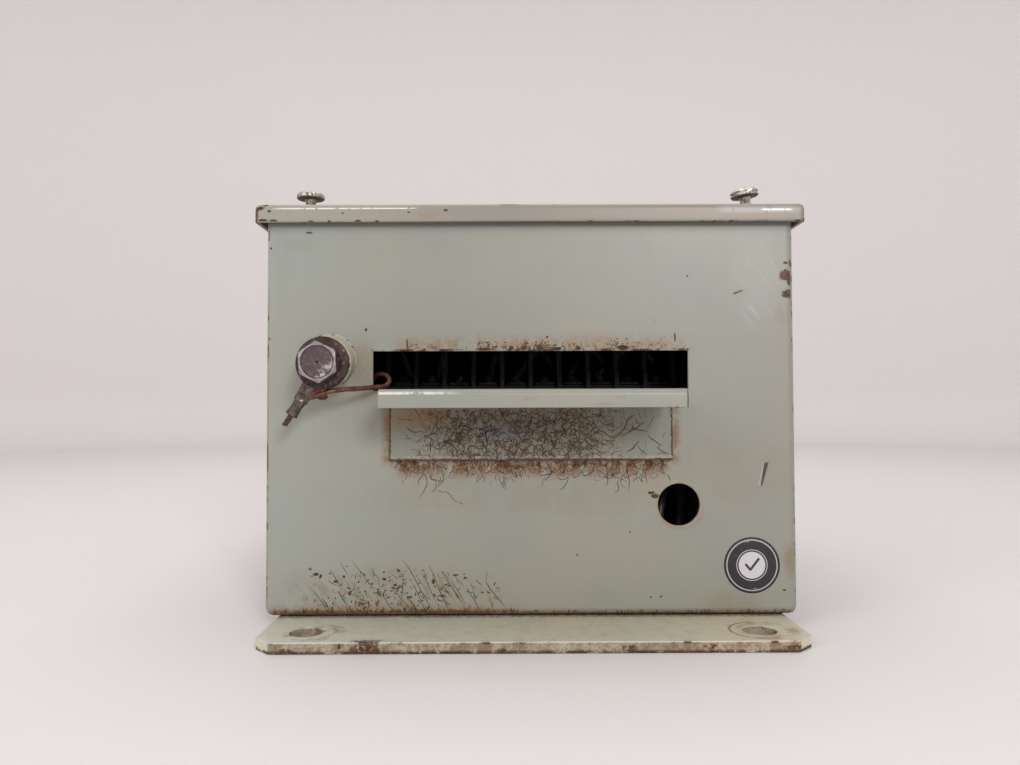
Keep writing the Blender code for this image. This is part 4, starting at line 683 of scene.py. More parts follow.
LOOKS = {
    "tub": tub_paint(),
    "cover": cover_paint(),
    "bar": bar_paint(),
    "support": support_paint(),
    "boss": boss_paint(),
    "bracket": paint("bracket_paint", (0.29, 0.30, 0.26)).finish(IOR=1.5),
    "tray": metal("tray_steel", (0.36, 0.36, 0.33), (0.20, 0.19, 0.17), 0.42, 0.26),
    "plated": metal("plated_steel", (0.50, 0.48, 0.44), (0.26, 0.23, 0.20), 0.36, 0.34, BRIGHT_STEEL),
    "tarnished": metal("tarnished_steel", (0.070, 0.045, 0.044), (0.036, 0.022, 0.022), 0.42, 0.36,
                       (0.22, 0.17, 0.17)),
    "screw": screw_steel(),
    "bolt": bolt_steel(),
    "thread": thread_rust(),
    "fringe": thread_rust("fringe_rust", (0.150, 0.062, 0.030)),
    "crack": thread_rust("crack_rust", (0.060, 0.032, 0.014)),
    "strand": metal("old_strand", (0.130, 0.082, 0.062), (0.060, 0.034, 0.026), 0.45, 0.40,
                    (0.30, 0.22, 0.18)),
    "label": label_print(),
    # Terminals near black: painted shade inside the box
    "terminal": metal("old_terminal", (0.034, 0.032, 0.028), (0.014, 0.013, 0.012), 0.5, 0.30),
    "tinned": metal("tinned_copper", (0.165, 0.140, 0.122), (0.075, 0.058, 0.050), 0.42, 0.30,
                    (0.34, 0.29, 0.27)),
    "copper": metal("old_copper", (0.215, 0.092, 0.068), (0.095, 0.040, 0.032), 0.42, 0.28,
                    (0.42, 0.22, 0.17)),
    "black": moulding("black_moulding", (0.0070, 0.0080, 0.0092), 0.55, 0.03, 1.3),
    "grey": moulding("grey_moulding", (0.085, 0.088, 0.095), 0.45),
    "toggle": moulding("toggle_plastic", (0.62, 0.58, 0.49), 0.32, 0.2),
    "rubber": moulding("grommet_rubber", (0.022, 0.022, 0.022), 0.7, 0.6),
    "grey_wire": moulding("grey_insulation", (0.24, 0.25, 0.26), 0.45, 0.4),
    "black_wire": moulding("black_insulation", (0.025, 0.025, 0.027), 0.4, 0.4),
}

# The CAD nodes' looks: (start of the node's name, look, width of its rounded edges in mm).
# The first row that fits is used.
NODE_LOOKS = (
    ("enclosure_tub", "tub", 0.5),
    ("cover_screw", "screw", 0.15),
    ("cover", "cover", 0.3),
    ("mounting_bar", "bar", 0.2),
    ("cable_support", "support", 0.25),
    ("earth_boss", "boss", 0.4),
    ("corner_bracket", "bracket", 0.2),
    ("equipment_tray", "tray", 0.25),
    ("retaining_washer", "plated", 0.1),
    ("tray_screw", "plated", 0.15),
    ("inner_earth_screw", "plated", 0.15),
    ("terminal_block", "black", 0.25),
    ("terminal_", "terminal", 0.12),
    ("tray_grommet", "rubber", 0.2),
    *((f"breaker_{number}_case", "black", 0.3) for number in (1, 2, 3)),
    *((f"breaker_{number}_cover", "grey", 0.2) for number in (1, 2, 3)),
    ("breaker_", "toggle", 0.8),
    ("busbar", "copper", 0.15),
    ("earth_wire", "copper", 0),
    ("load_wire", "grey_wire", 0),
    ("supply_wire", "black_wire", 0),
    ("earth_flat_washer", "tarnished", 0.2),
    ("earth_spring_washer", "tarnished", 0.2),
    ("earth_bolt", "tarnished", 0.35),
    ("stub_lug", "tinned", 0.15),
)


def finish_node(name, node):
    _, look, edge = next(row for row in NODE_LOOKS if name.startswith(row[0]))
    node.data.materials.clear()
    node.data.materials.append(LOOKS[look])
    custom = node.data.attributes.get("custom_normal")
    if custom:
        node.data.attributes.remove(custom)
    node.data.polygons.foreach_set("use_smooth", [True] * len(node.data.polygons))
    weld = node.modifiers.new("weld", "WELD")
    weld.merge_threshold = 0.01 * MM
    if edge:
        flat = node.modifiers.new("flat", "DECIMATE")
        flat.decimate_type = "DISSOLVE"
        flat.angle_limit = math.radians(0.5)
        soft = node.modifiers.new("edges", "BEVEL")
        soft.width = edge * MM
        soft.segments = 2
        soft.limit_method = "ANGLE"
        soft.angle_limit = math.radians(40)
        soft.harden_normals = False
    smooth = node.modifiers.new("smooth", "WEIGHTED_NORMAL")
    smooth.mode = "FACE_AREA"
    smooth.weight = 50


for name, node in NODES.items():
    finish_node(name, node)


# Mesh pieces, built in world coordinates


def piece(name, verts, faces, look, body, slot, replaces, sharp):
    """An object of one mesh with smooth faces, whose edges over the sharp angle stay crisp."""
    mesh = bpy.data.meshes.new(name)
    mesh.from_pydata([tuple(v) for v in verts], [], faces)
    bm = bmesh.new()
    bm.from_mesh(mesh)
    bmesh.ops.remove_doubles(bm, verts=bm.verts, dist=1e-7)
    bmesh.ops.recalc_face_normals(bm, faces=bm.faces)
    bm.to_mesh(mesh)
    bm.free()
    mesh.polygons.foreach_set("use_smooth", [True] * len(mesh.polygons))
    mesh.set_sharp_from_angle(angle=math.radians(sharp))
    mesh.materials.append(LOOKS[look])
    made = bpy.data.objects.new(name, mesh)
    bpy.context.collection.objects.link(made)
    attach(made, body)
    if replaces:
        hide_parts(*replaces)
    return made


def circle(steps):
    """The angles of that many even steps round a circle."""
    return [2 * math.pi * i / steps for i in range(steps)]


def rings(rows, closed=False):
    """(verts, faces) of a skin over rows of points, one ring each. A row of one point is a pole."""
    verts, faces, starts = [], [], []
    for row in rows:
        starts.append(len(verts))
        verts += row
    pairs = list(zip(range(len(rows)), range(1, len(rows))))
    if closed:
        pairs.append((len(rows) - 1, 0))
    for a, b in pairs:
        n, m = len(rows[a]), len(rows[b])
        steps = max(n, m)
        for i in range(steps):
            j = (i + 1) % steps
            corner = [starts[a] + i % n, starts[a] + j % n, starts[b] + j % m, starts[b] + i % m]
            faces.append(list(dict.fromkeys(corner)))
    return verts, faces


def turned(profile, steps, to_place, radius_at=None):
    """Rings of a turned shape. profile holds (radius, height); to_place maps (u, v, height) to a place."""
    rows = []
    for r, h in profile:
        if r == 0:
            rows.append([to_place(0, 0, h)])
            continue
        row = []
        for angle in circle(steps):
            reach = r if radius_at is None else radius_at(r, h, angle)
            row.append(to_place(reach * math.cos(angle), reach * math.sin(angle), h))
        rows.append(row)
    return rows


def smooth_route(points, steps):
    """A Catmull-Rom curve through the points."""
    points = [Vector(p) for p in points]
    ends = [2 * points[0] - points[1], *points, 2 * points[-1] - points[-2]]
    found = []
    for a, b, c, d in zip(ends, ends[1:], ends[2:], ends[3:]):
        for i in range(steps):
            t = i / steps
            found.append(0.5 * ((2 * b) + (c - a) * t + (2 * a - 5 * b + 4 * c - d) * t * t
                                + (3 * b - a - 3 * c + d) * t * t * t))
    found.append(points[-1])
    return found


def tube(route, radii, sides):
    """(verts, faces) of a closed tube along a route."""
    side = None
    rows = []
    for i, centre in enumerate(route):
        along = (route[min(i + 1, len(route) - 1)] - route[max(i - 1, 0)]).normalized()
        if side is None:
            side = along.orthogonal().normalized()
        side = (side - along * side.dot(along)).normalized()
        other = along.cross(side)
        radius = radii[i] if isinstance(radii, (list, tuple)) else radii
        rows.append([centre + radius * (math.cos(a) * side + math.sin(a) * other)
                     for a in circle(sides)])
    return rings([[route[0]], *rows, [route[-1]]])


def joined(parts):
    verts, faces = [], []
    for more_verts, more_faces in parts:
        faces += [[i + len(verts) for i in face] for face in more_faces]
        verts += more_verts
    return verts, faces


# The cover screws: a crossed pan head, a reduced neck and a rolled thread

SCREW_HEAD, SCREW_HEAD_HIGH = 5.5 * MM, 2.4 * MM
SCREW_NECK, SCREW_NECK_LONG = 2.1 * MM, 10.8 * MM
SCREW_THREAD, SCREW_THREAD_LONG, SCREW_PITCH = 3.0 * MM, 4.6 * MM, 1.0 * MM
SCREW_STEPS = 72


def screw_head_height(u, v):
    """Height of the head's top over its edge: a low dome with a cross recess."""
    r = math.hypot(u, v) / SCREW_HEAD
    dome = SCREW_HEAD_HIGH - 0.30 * MM * r ** 2 - 0.85 * MM * max(0.0, (r - 0.72) / 0.28) ** 2
    along, across = max(abs(u), abs(v)), min(abs(u), abs(v))
    narrow = min(1.0, max(0.0, (0.75 * MM - across) / (0.25 * MM)))
    short = min(1.0, max(0.0, (2.9 * MM - along) / (0.5 * MM)))
    return dome - 1.2 * MM * (narrow * short)


def screw_rows(turn, under, to_place):
    rows = [[to_place(0, 0, screw_head_height(0, 0))]]
    for k in range(1, 25):
        r = SCREW_HEAD * k / 24
        row = []
        for angle in circle(SCREW_STEPS):
            u, v = r * math.cos(angle), r * math.sin(angle)
            row.append(to_place(u * math.cos(turn) - v * math.sin(turn),
                                u * math.sin(turn) + v * math.cos(turn),
                                screw_head_height(u, v)))
        rows.append(row)
    rim = [(SCREW_HEAD, 0.75 * MM - under), (SCREW_HEAD - 0.12 * MM, 0.35 * MM - under),
           (SCREW_HEAD - 0.4 * MM, 0.08 * MM - under), (SCREW_HEAD - 0.9 * MM, -under),
           (SCREW_NECK + 0.3 * MM, -under),
           (SCREW_NECK, -0.3 * MM - under), (SCREW_NECK, -SCREW_NECK_LONG + 0.3 * MM)]
    rows += turned(rim, SCREW_STEPS, to_place)
    levels = 46
    for k in range(levels + 1):
        down = SCREW_THREAD_LONG * k / levels
        ends = min(1.0, down / (0.6 * MM)) * min(1.0, (SCREW_THREAD_LONG - down) / (0.7 * MM) + 0.3)
        row = []
        for i, angle in enumerate(circle(SCREW_STEPS)):
            phase = (down / SCREW_PITCH + i / SCREW_STEPS) % 1.0
            crest = 1.0 - abs(2 * phase - 1.0)
            r = SCREW_NECK + (SCREW_THREAD - SCREW_NECK) * ends * (0.25 + 0.75 * crest)
            row.append(to_place(r * math.cos(angle), r * math.sin(angle), -SCREW_NECK_LONG - down))
        rows.append(row)
    rows.append([to_place(0, 0, -SCREW_NECK_LONG - SCREW_THREAD_LONG)])
    return rows


def build_cover_screws():
    for corner, x, y, raised, lean, turn, under in (
        ("front_left", -SCREW_X, -SCREW_Y, 5.8, 0, 20, 0.2),
        ("front_right", SCREW_X, -SCREW_Y, 6.9, -7, 55, 0.7),
        ("rear_left", -SCREW_X, SCREW_Y, 0.3, 0, 75, 0), ("rear_right", SCREW_X, SCREW_Y, 0.3, 0, 5, 0),
    ):
        axis = Matrix.Translation((x, y, COVER_HIGH.z)) @ Matrix.Rotation(math.radians(lean), 4, "Y")
        rows = screw_rows(math.radians(turn), under * MM,
                          lambda u, v, h: axis @ Vector((u, v, h + raised * MM)))
        name = "cover_screw_" + corner
        piece("threaded_" + name, *rings(rows), "screw", name, "tarnished_steel", (name,), 50)
        # Its captive washer, with rounded edges
        drop = raised * MM - SCREW_NECK_LONG + 0.3 * MM + 0.4 * MM
        outline = [(2.4, -0.4), (4.3, -0.4), (4.5, -0.2), (4.5, 0.2), (4.3, 0.4), (2.4, 0.4)]
        rows = turned(at_mm(outline), 48, lambda u, v, h: axis @ Vector((u, v, h + drop)))
        washer = "retaining_washer_" + corner
        piece("round_" + washer, *rings(rows, True), "plated", washer, "plated_steel", (washer,), 50)


# The earth point, about an axis that runs out from the face

LUG_TURN = math.radians(-123)
BOLT_TURN = math.radians(34)


def from_face(u, v, h):
    return Vector((EARTH_X + u, FACE_Y - h, EARTH_Z + v))


def at_mm(pairs):
    return [(r * MM, h * MM) for r, h in pairs]


def build_earth_boss():
    """The welded boss, with an uneven bead at its foot and thick chipped paint."""
    def lumpy(r, h, angle):
        place = Vector((math.cos(angle) * 2.2, math.sin(angle) * 2.2, h * 400))
        at_foot = max(0.0, 1.0 - h / (2.4 * MM))
        wave = noise.noise(place * 1.7)
        if r < 8 * MM:
            return r
        return min(r + (0.25 * wave * at_foot - 0.25 + 0.05 * wave - 0.5 * at_foot) * MM, 10.5 * MM)

    outline = [(4.2, 13.0), (8.6, 13.0), (9.1, 12.9), (9.45, 12.6), (9.6, 12.1), (9.6, 10.0), (9.6, 7.0),
               (9.6, 4.0),
               (9.62, 2.4), (9.75, 1.7), (10.05, 1.1), (10.45, 0.6), (10.7, 0.31), (4.2, 0.31)]

    def leaning(u, v, h):
        root = 1.0 - h / (13 * MM)
        return from_face(u - 1.0 * MM * root, v + 2.2 * MM * root, h)

    rows = turned(at_mm(outline), 120, leaning, lumpy)
    piece("welded_earth_boss", *rings(rows, True), "boss", "box", "sage_paint", ("earth_boss",), 55)


def build_flat_washer():
    outline = [(4.25, 16.95), (9.1, 16.95), (9.45, 17.1), (9.6, 17.4), (9.6, 18.0), (9.45, 18.35),
               (9.0, 18.5), (4.25, 18.5)]
    rows = turned(at_mm(outline), 96, from_face)
    piece("round_earth_washer", *rings(rows, True), "tarnished", "earth_washers", "tarnished_steel",
          ("earth_flat_washer",), 50)


def build_spring_washer():
    """A split ring of square wire, whose two ends stand a little apart."""
    outline = [(4.25, 0.15), (4.4, 0.0), (6.6, 0.0), (6.8, 0.2), (6.8, 1.4), (6.6, 1.6), (4.4, 1.6),
               (4.25, 1.45)]
    rows = []
    steps = 90
    first, last = math.radians(23.5), math.radians(376.5)
    for k in range(steps + 1):
        angle = first + (last - first) * k / steps
        lift = 18.8 + 0.4 * k / steps
        rows.append([from_face(r * MM * math.cos(angle), r * MM * math.sin(angle), (lift + h) * MM)
                     for r, h in outline])
    verts, faces = rings(rows)
    count = len(outline)
    faces += [list(range(count)), list(range(len(verts) - count, len(verts)))]
    piece("split_earth_washer", verts, faces, "tarnished", "earth_washers", "tarnished_steel",
          ("earth_spring_washer",), 50)


def build_bolt():
    """A forged hexagon head: chamfered corners round a slightly sunk face with a centre mark."""
    steps = 120
    face, base, top = 6.2 * MM, 21.1 * MM, 26.4 * MM

    def hexagon(angle, corner_cut=0.0):
        off = (angle - BOLT_TURN) % (math.pi / 3) - math.pi / 6
        return min(6.5 * MM / math.cos(off), 7.5 * MM - corner_cut)

    def chamfer(r):
        return top - max(0.0, r - face) * math.tan(math.radians(29))

    angles = [angle + BOLT_TURN for angle in circle(steps)]
    rows = [[from_face(0, 0, top - 0.42 * MM)]]
    for r, h in at_mm(((0.35, 26.05), (0.7, 26.2), (1.5, 26.16), (3.0, 26.2), (4.5, 26.22), (5.4, 26.24),
                       (5.75, 26.28),
                       (5.95, 26.38), (6.2, 26.4))):
        row = []
        for a in angles:
            u, v = r * math.cos(a), r * math.sin(a)
            forged = 0.05 * MM * noise.noise(Vector((u, v, 0)) * 900) * (r < 5.6 * MM)
            row.append(from_face(u, v, h + forged))
        rows.append(row)
    for share in (0.35, 0.7, 1.0):
        row = []
        for a in angles:
            r = face + (hexagon(a, 0.08 * MM) - face) * share
            row.append(from_face(r * math.cos(a), r * math.sin(a), chamfer(r)))
        rows.append(row)
    for h in (24.6, 22.4, 21.35):
        rows.append([from_face(hexagon(a) * math.cos(a), hexagon(a) * math.sin(a), h * MM) for a in angles])
    rows.append([from_face((hexagon(a) - 0.25 * MM) * math.cos(a), (hexagon(a) - 0.25 * MM) * math.sin(a),
                           base)
                 for a in angles])
    for r, h in at_mm(((4.0, 21.1), (4.0, 6.0), (3.3, 5.15))):
        rows.append([from_face(r * math.cos(a), r * math.sin(a), h) for a in angles])
    rows.append([from_face(0, 0, 5.15 * MM)])
    piece("hexagon_earth_bolt", *rings(rows), "bolt", "earth_bolt", "tarnished_steel", ("earth_bolt",), 22)


def along_lug(out, across, h):
    """A place on the lug: out along its tongue, across it, and from the face, in mm."""
    u = out * math.cos(LUG_TURN) - across * math.sin(LUG_TURN)
    v = out * math.sin(LUG_TURN) + across * math.cos(LUG_TURN)
    return from_face(u * MM, v * MM, h * MM)


def build_lug():
    """A crimped ring lug: a stamped ring and tapering tongue, a rolled barrel with a seam, and cut strands."""
    low, high, middle = 13.32, 14.48, 13.9
    flat, hole = [], []
    for angle in circle(84):
        u, v = 7.3 * math.cos(angle), 7.3 * math.sin(angle)
        if u > 0 and abs(v) < 3.05:
            u = 16.4
            v = max(-2.5, min(2.5, v))
        flat.append((u, v))
        hole.append((4.25 * math.cos(angle), 4.25 * math.sin(angle)))
    rows = [[along_lug(u, v, low) for u, v in hole], [along_lug(u, v, low) for u, v in flat],
            [along_lug(u, v, high - 0.15) for u, v in flat],
            [along_lug(u * 0.985, v * 0.985, high) for u, v in flat], [along_lug(u, v, high) for u, v in hole]]
    parts = [rings(rows, True)]
    # The neck that folds from the flat tongue up into the round barrel
    neck = []
    for k in range(13):
        t = k / 12
        out = 12.6 + 3.6 * t
        half_wide, half_high = 2.9 - 0.6 * t, 0.6 + 1.7 * t * t * (3 - 2 * t)
        neck.append([along_lug(out, half_wide * math.cos(a), middle + half_high * math.sin(a))
                     for a in circle(32)])
    parts.append(rings([[along_lug(12.5, 0, middle)], *neck, [along_lug(16.3, 0, middle)]]))
    barrel = []
    for out, r in ((15.7, 1.55), (15.7, 2.25), (15.85, 2.35), (16.15, 2.35), (16.35, 2.2), (17.4, 2.12),
                   (18.2, 1.98),
                   (19.2, 1.98), (20.2, 2.12), (21.4, 2.2), (21.65, 2.35), (22.05, 2.35), (22.2, 2.25),
                   (22.2, 1.6),
                   (21.0, 1.5), (17.0, 1.5)):
        barrel.append([along_lug(out, (r - 0.12 * (abs(a - math.pi / 2) < 0.18)) * math.cos(a),
                                 middle + (r - 0.22 * (abs(a - math.pi / 2) < 0.18)) * math.sin(a))
                       for a in circle(48)])
    parts.append(rings(barrel, True))
    piece("crimped_lug", *joined(parts), "tinned", "stub_lug", "tinned_copper", ("stub_lug",), 35)
    strands = []
    rng = random.Random(31)
    for k in range(7):
        centre = 0.0 if k == 6 else 0.70
        route, long = [], 26.75 - 0.5 * rng.random()
        for i in range(20):
            out = 17.0 + (long - 17.0) * i / 19
            angle = k * math.pi / 3 + out * 0.38
            route.append(along_lug(out, centre * math.cos(angle), middle + centre * math.sin(angle)))
        strands.append(tube(route, 0.37 * MM, 8))
    piece("cut_strands", *joined(strands), "strand", "stub_lug", "old_copper", (), 40)


EARTH_WIRE_RUN = (
    (-66.6, -92.5, 83.4), (-65.4, -97.5, 85.2), (-63.6, -101.5, 89.0), (-61.4, -104.5, 93.4),
    (-58.4, -107.4, 95.8), (-55.2, -109.8, 95.5), (-53.6, -111.6, 93.6), (-54.5, -113.2, 91.6),
    (-58.0, -115.6, 90.8), (-63.0, -119.4, 90.2), (-68.0, -123.6, 89.8),
)
EARTH_WIRE_BACK = ((2.6, -10.0), (0.3, -10.6), (-2.2, -11.5), (-4.2, -12.2), (-4.7, -11.8), (-3.5, -10.8),
                   (-1.3, -9.1),
                   (0.4, -7.2))


def build_earth_wire():
    """The bare copper wire: an eye under the inner screw, out through the slot, and a hook round the bolt."""
    eye = [(-70 + 3.3 * math.cos(math.radians(a)), -89 + 3.3 * math.sin(math.radians(a)), 83.2)
           for a in (250 - 250 * i / 7 for i in range(8))]
    hook_y = FACE_Y / MM - 15.7
    back = [(EARTH_X / MM + u, hook_y, EARTH_Z / MM + v) for u, v in EARTH_WIRE_BACK]
    hook = [(EARTH_X / MM + 5.3 * math.cos(math.radians(a)), hook_y,
             EARTH_Z / MM + 5.3 * math.sin(math.radians(a)))
            for a in (230 * i / 8 - 70 for i in range(9))]
    route = smooth_route([Vector(p) * MM for p in (*eye, *EARTH_WIRE_RUN, *back, *hook)], 6)
    radii = [0.89 * MM * (1 + 0.04 * noise.noise(p * 500)) for p in route]
    radii = [min(r, 0.9 * MM) for r in radii]
    piece("round_earth_wire", *tube(route, radii, 20), "copper", "box", "old_copper", ("earth_wire",), 60)


# Fine corrosion threads and cracks, as raised lines that lie on the paint

THREAD_HIGH = 0.12 * MM
THREAD_SUNK = 0.05 * MM


def thread(points, width):
    """A thin raised ridge along points that lie on a front face. Its base is just inside the paint."""
    rows = []
    count = len(points)
    for i, (x, y, z) in enumerate(points):
        ahead, behind = points[min(i + 1, count - 1)], points[max(i - 1, 0)]
        along = Vector((ahead[0] - behind[0], 0, ahead[2] - behind[2])).normalized()
        side = Vector((-along.z, 0, along.x))
        swell = 1.0 - 0.55 * abs(2 * i / (count - 1) - 1.0) ** 3
        half = width * swell / 2
        place = Vector((x, y, z))
        rows.append([place + side * half + Vector((0, THREAD_SUNK, 0)),
                     place + Vector((0, -THREAD_HIGH * swell, 0)),
                     place - side * half + Vector((0, THREAD_SUNK, 0))])
    verts, faces = rings(rows)
    faces += [[2, 1, 0], [len(verts) - 3, len(verts) - 2, len(verts) - 1]]
    return verts, faces


def wander(rng, x, z, heading, length, curl, y, step, keep):
    """A wandering path. curl is how fast it may turn, in radians a step."""
    points = [(x, y, z)]
    bend = rng.uniform(-curl, curl)
    for _ in range(max(2, int(length / step))):
        bend = 0.66 * bend + rng.uniform(-curl, curl) * 0.55
        heading += bend
        x += step * math.cos(heading)
        z += step * math.sin(heading)
        if not keep(x, z):
            break
        points.append((x, y, z))
    return points


def threads(name, runs, look, seed):
    rng = random.Random(seed)
    parts = [thread(points, rng.uniform(low, high) * MM) for points, low, high in runs if len(points) > 2]
    piece(name, *joined(parts), look, "box", "sage_paint", (), 80)


def build_foot_threads():
    """Rust threads that cross the foot of the cable support, densest in its middle."""
    rng = random.Random(5)
    runs = []

    def inside(x, z):
        return abs(x) < SUPPORT_HALF - 0.4 * MM and FOOT_LOW + 0.3 * MM < z < 82.6 * MM

    while len(runs) < 900:
        x, z = rng.uniform(-53, 53) * MM, rng.uniform(63.4, 82.4) * MM
        dense = math.exp(-abs((x / MM + 4) / 31) ** 4) * (0.6 + 0.4 * (z < 76 * MM))
        if rng.random() > 0.07 + dense:
            continue
        path = wander(rng, x, z, rng.uniform(0, 2 * math.pi), rng.uniform(1.6, 6.0) * MM, 0.70, FOOT_Y,
                      0.36 * MM, inside)
        runs.append((path, 0.12, 0.34))
    for x, z, heading, length in (
        (30, 71, 0.1, 14), (34, 73, -0.2, 10), (38, 76, -0.6, 7), (40, 69, -1.2, 6), (44, 73, -1.0, 8),
        (36, 66, 0.6, 7), (24, 74, -0.3, 12), (47, 68, -0.5, 6), (-47, 76, -1.3, 7), (-41, 72, 0.3, 9),
        (-34, 70, 0.2, 14), (-38, 66, 1.4, 5), (-28, 76, 0.5, 8), (-22, 75, 0.0, 16), (-33, 68, 1.1, 7),
    ):
        path = wander(rng, x * MM, z * MM, heading, length * MM, 0.30, FOOT_Y, 0.45 * MM, inside)
        runs.append((path, 0.35, 0.55))
    threads("foot_threads", runs, "thread", 6)


def build_face_threads():
    """Rust threads that hang below the foot, and hairline cracks that stand above the cable slot."""
    rng = random.Random(11)
    runs = []

    def below(x, z):
        return z < FOOT_LOW - 0.1 * MM and math.hypot(x - HOLE_X, z - HOLE_Z) > HOLE_RADIUS + 0.6 * MM

    for _ in range(430):
        x = rng.uniform(-50, 51) * MM
        reach = 4.5 + 5.0 * max(0.0, noise.noise(Vector((x * 110, 3.3, 0))) + 0.25)
        path = wander(rng, x, FOOT_LOW - 0.3 * MM - rng.random() ** 2 * reach * MM, rng.uniform(-2.4, -0.7),
                      rng.uniform(1.2, 4.6) * MM, 0.50, FACE_Y, 0.34 * MM, below)
        runs.append((path, 0.12, 0.32))
    for x, z, heading, length, curl in (
        (-40.6, 58.5, -1.8, 6, 0.5), (-39.0, 57.0, -1.1, 8, 0.4), (-36.5, 56.0, -1.2, 6, 0.5),
        (-35.5, 51.8, -0.2, 3, 0.5), (-33.0, 51.6, -0.5, 4, 0.6), (-31.0, 49.6, -0.7, 4, 0.3),
        (-27.6, 47.3, -0.4, 2.4, 0.3), (-12.0, 57, -1.6, 5, 0.5), (-8.0, 59, -1.3, 7, 0.4),
        (3.0, 57.5, -0.9, 6, 0.6), (10.0, 58.0, -2.0, 7, 0.6), (14.0, 57, -1.1, 7, 0.8),
        (26.0, 59.5, -1.9, 8, 0.7), (29.6, 59.8, -1.2, 9, 0.6), (31.5, 57.8, -2.2, 5, 0.8),
        (36.0, 59.5, -1.4, 9, 0.5), (38.5, 57.5, -0.7, 5, 0.6), (33.2, 55.5, -1.8, 6, 0.5),
        (51.8, 57.5, -1.3, 3, 0.2), (20.0, 58.0, -2.4, 6, 0.7), (-40.2, 58.2, -1.15, 10, 0.12),
        (30.0, 59.2, -1.25, 9, 0.14), (36.2, 59.2, -1.3, 8, 0.12), (8.0, 59.4, -1.7, 5, 0.2),
    ):
        path = wander(rng, x * MM, z * MM, heading, length * MM, curl, FACE_Y, 0.4 * MM, below)
        runs.append((path, 0.28, 0.46))

    def above(x, z):
        return SLOT_HIGH + 0.15 * MM < z < 114 * MM

    for _ in range(240):
        x = rng.choice((-17, -12, -7, -2, 3, 4, 8, 12, 18, 34, 37)) + rng.gauss(0, 2.2)
        z = 104.9 + abs(rng.gauss(0, 1.7))
        path = wander(rng, x * MM, z * MM, rng.uniform(0, 6.3), rng.uniform(0.5, 1.5) * MM, 0.9, FACE_Y,
                      0.22 * MM, above)
        runs.append((path, 0.22, 0.60))
    for _ in range(80):
        x = rng.uniform(-48, 58)
        tall = rng.uniform(0.8, 3.2)
        path = wander(rng, x * MM, (104.8 + 2.2 * rng.random() ** 2) * MM,
                      math.pi / 2 + rng.uniform(-1.3, 1.3), tall * MM, 0.6, FACE_Y, 0.3 * MM, above)
        runs.append((path, 0.10, 0.26))
    threads("face_threads", runs, "crack", 12)


def build_low_cracks():
    """Slanting cracks and blisters over the lower left of the face, and a fringe along the bottom edge."""
    rng = random.Random(23)
    runs, fringe = [], []

    def low(x, z):
        return TUB_LOW.z + 0.8 * MM < z and -99 * MM < x < 99.5 * MM

    for x, z, length in (
        (-49.0, 26.0, 23), (-38.7, 23.3, 19), (-67.4, 24.9, 12), (-17.5, 17.5, 12), (-72.3, 25.0, 6),
        (-76.0, 22.0, 9), (-60.5, 22.6, 7), (-45.2, 17.0, 13), (-41.0, 20.0, 12), (-34.0, 21.0, 16),
        (-30.5, 18.0, 11), (-51.5, 14.0, 10), (-82.0, 14.0, 9), (-79.0, 11.5, 6), (-73.0, 14.0, 6),
        (-56.0, 12.0, 7), (-24.0, 14.0, 8), (-47.0, 12.0, 8),
    ):
        path = wander(rng, x * MM, z * MM, math.radians(-59 + rng.uniform(-4, 4)), length * MM, 0.035, FACE_Y,
                      0.6 * MM, low)
        runs.append((path, 0.22, 0.40))
    for _ in range(46):
        x, z = rng.uniform(-84, -14) * MM, rng.uniform(7, 22) * MM
        path = wander(rng, x, z, math.radians(-60 + rng.uniform(-12, 12)), rng.uniform(1.5, 5.5) * MM, 0.12,
                      FACE_Y, 0.4 * MM, low)
        runs.append((path, 0.18, 0.40))
    for _ in range(130):
        x, z = rng.gauss(-52, 17) * MM, rng.gauss(14, 4.6) * MM
        if not (-86 * MM < x < -12 * MM and 6 * MM < z < 23 * MM):
            continue
        path = wander(rng, x, z, rng.uniform(0, 6.3), rng.uniform(0.8, 1.7) * MM, 0.9, FACE_Y, 0.25 * MM, low)
        runs.append((path, 0.35, 0.85))
    for _ in range(300):
        x = rng.uniform(-99, 99)
        tall = rng.uniform(0.6, 2.4) * (1.5 if x < -5 else 0.8)
        path = wander(rng, x * MM, 5.2 * MM, math.pi / 2 + rng.uniform(-0.7, 0.7), tall * MM, 0.4, FACE_Y,
                      0.3 * MM, low)
        fringe.append((path, 0.15, 0.36))
    threads("low_cracks", runs, "crack", 24)
    threads("edge_fringe", fringe, "fringe", 25)


def build_inspection_mark():
    """A plain round printed label near the lower right corner."""
    rows = turned(at_mm(((0, 0.10), (4.0, 0.10), (8.0, 0.10), (10.45, 0.10), (10.6, 0.05), (10.6, -0.05),
                         (0, -0.05))), 96,
                  lambda u, v, h: Vector((LABEL_X + u, FACE_Y - h, LABEL_Z + v)))
    piece("inspection_label", *rings(rows), "label", "box", "sage_paint", (), 60)


build_cover_screws()
build_earth_boss()
build_flat_washer()
build_spring_washer()
build_bolt()
build_lug()
build_earth_wire()
build_foot_threads()
build_face_threads()
build_low_cracks()
build_inspection_mark()


# The camera, where the photograph was taken from


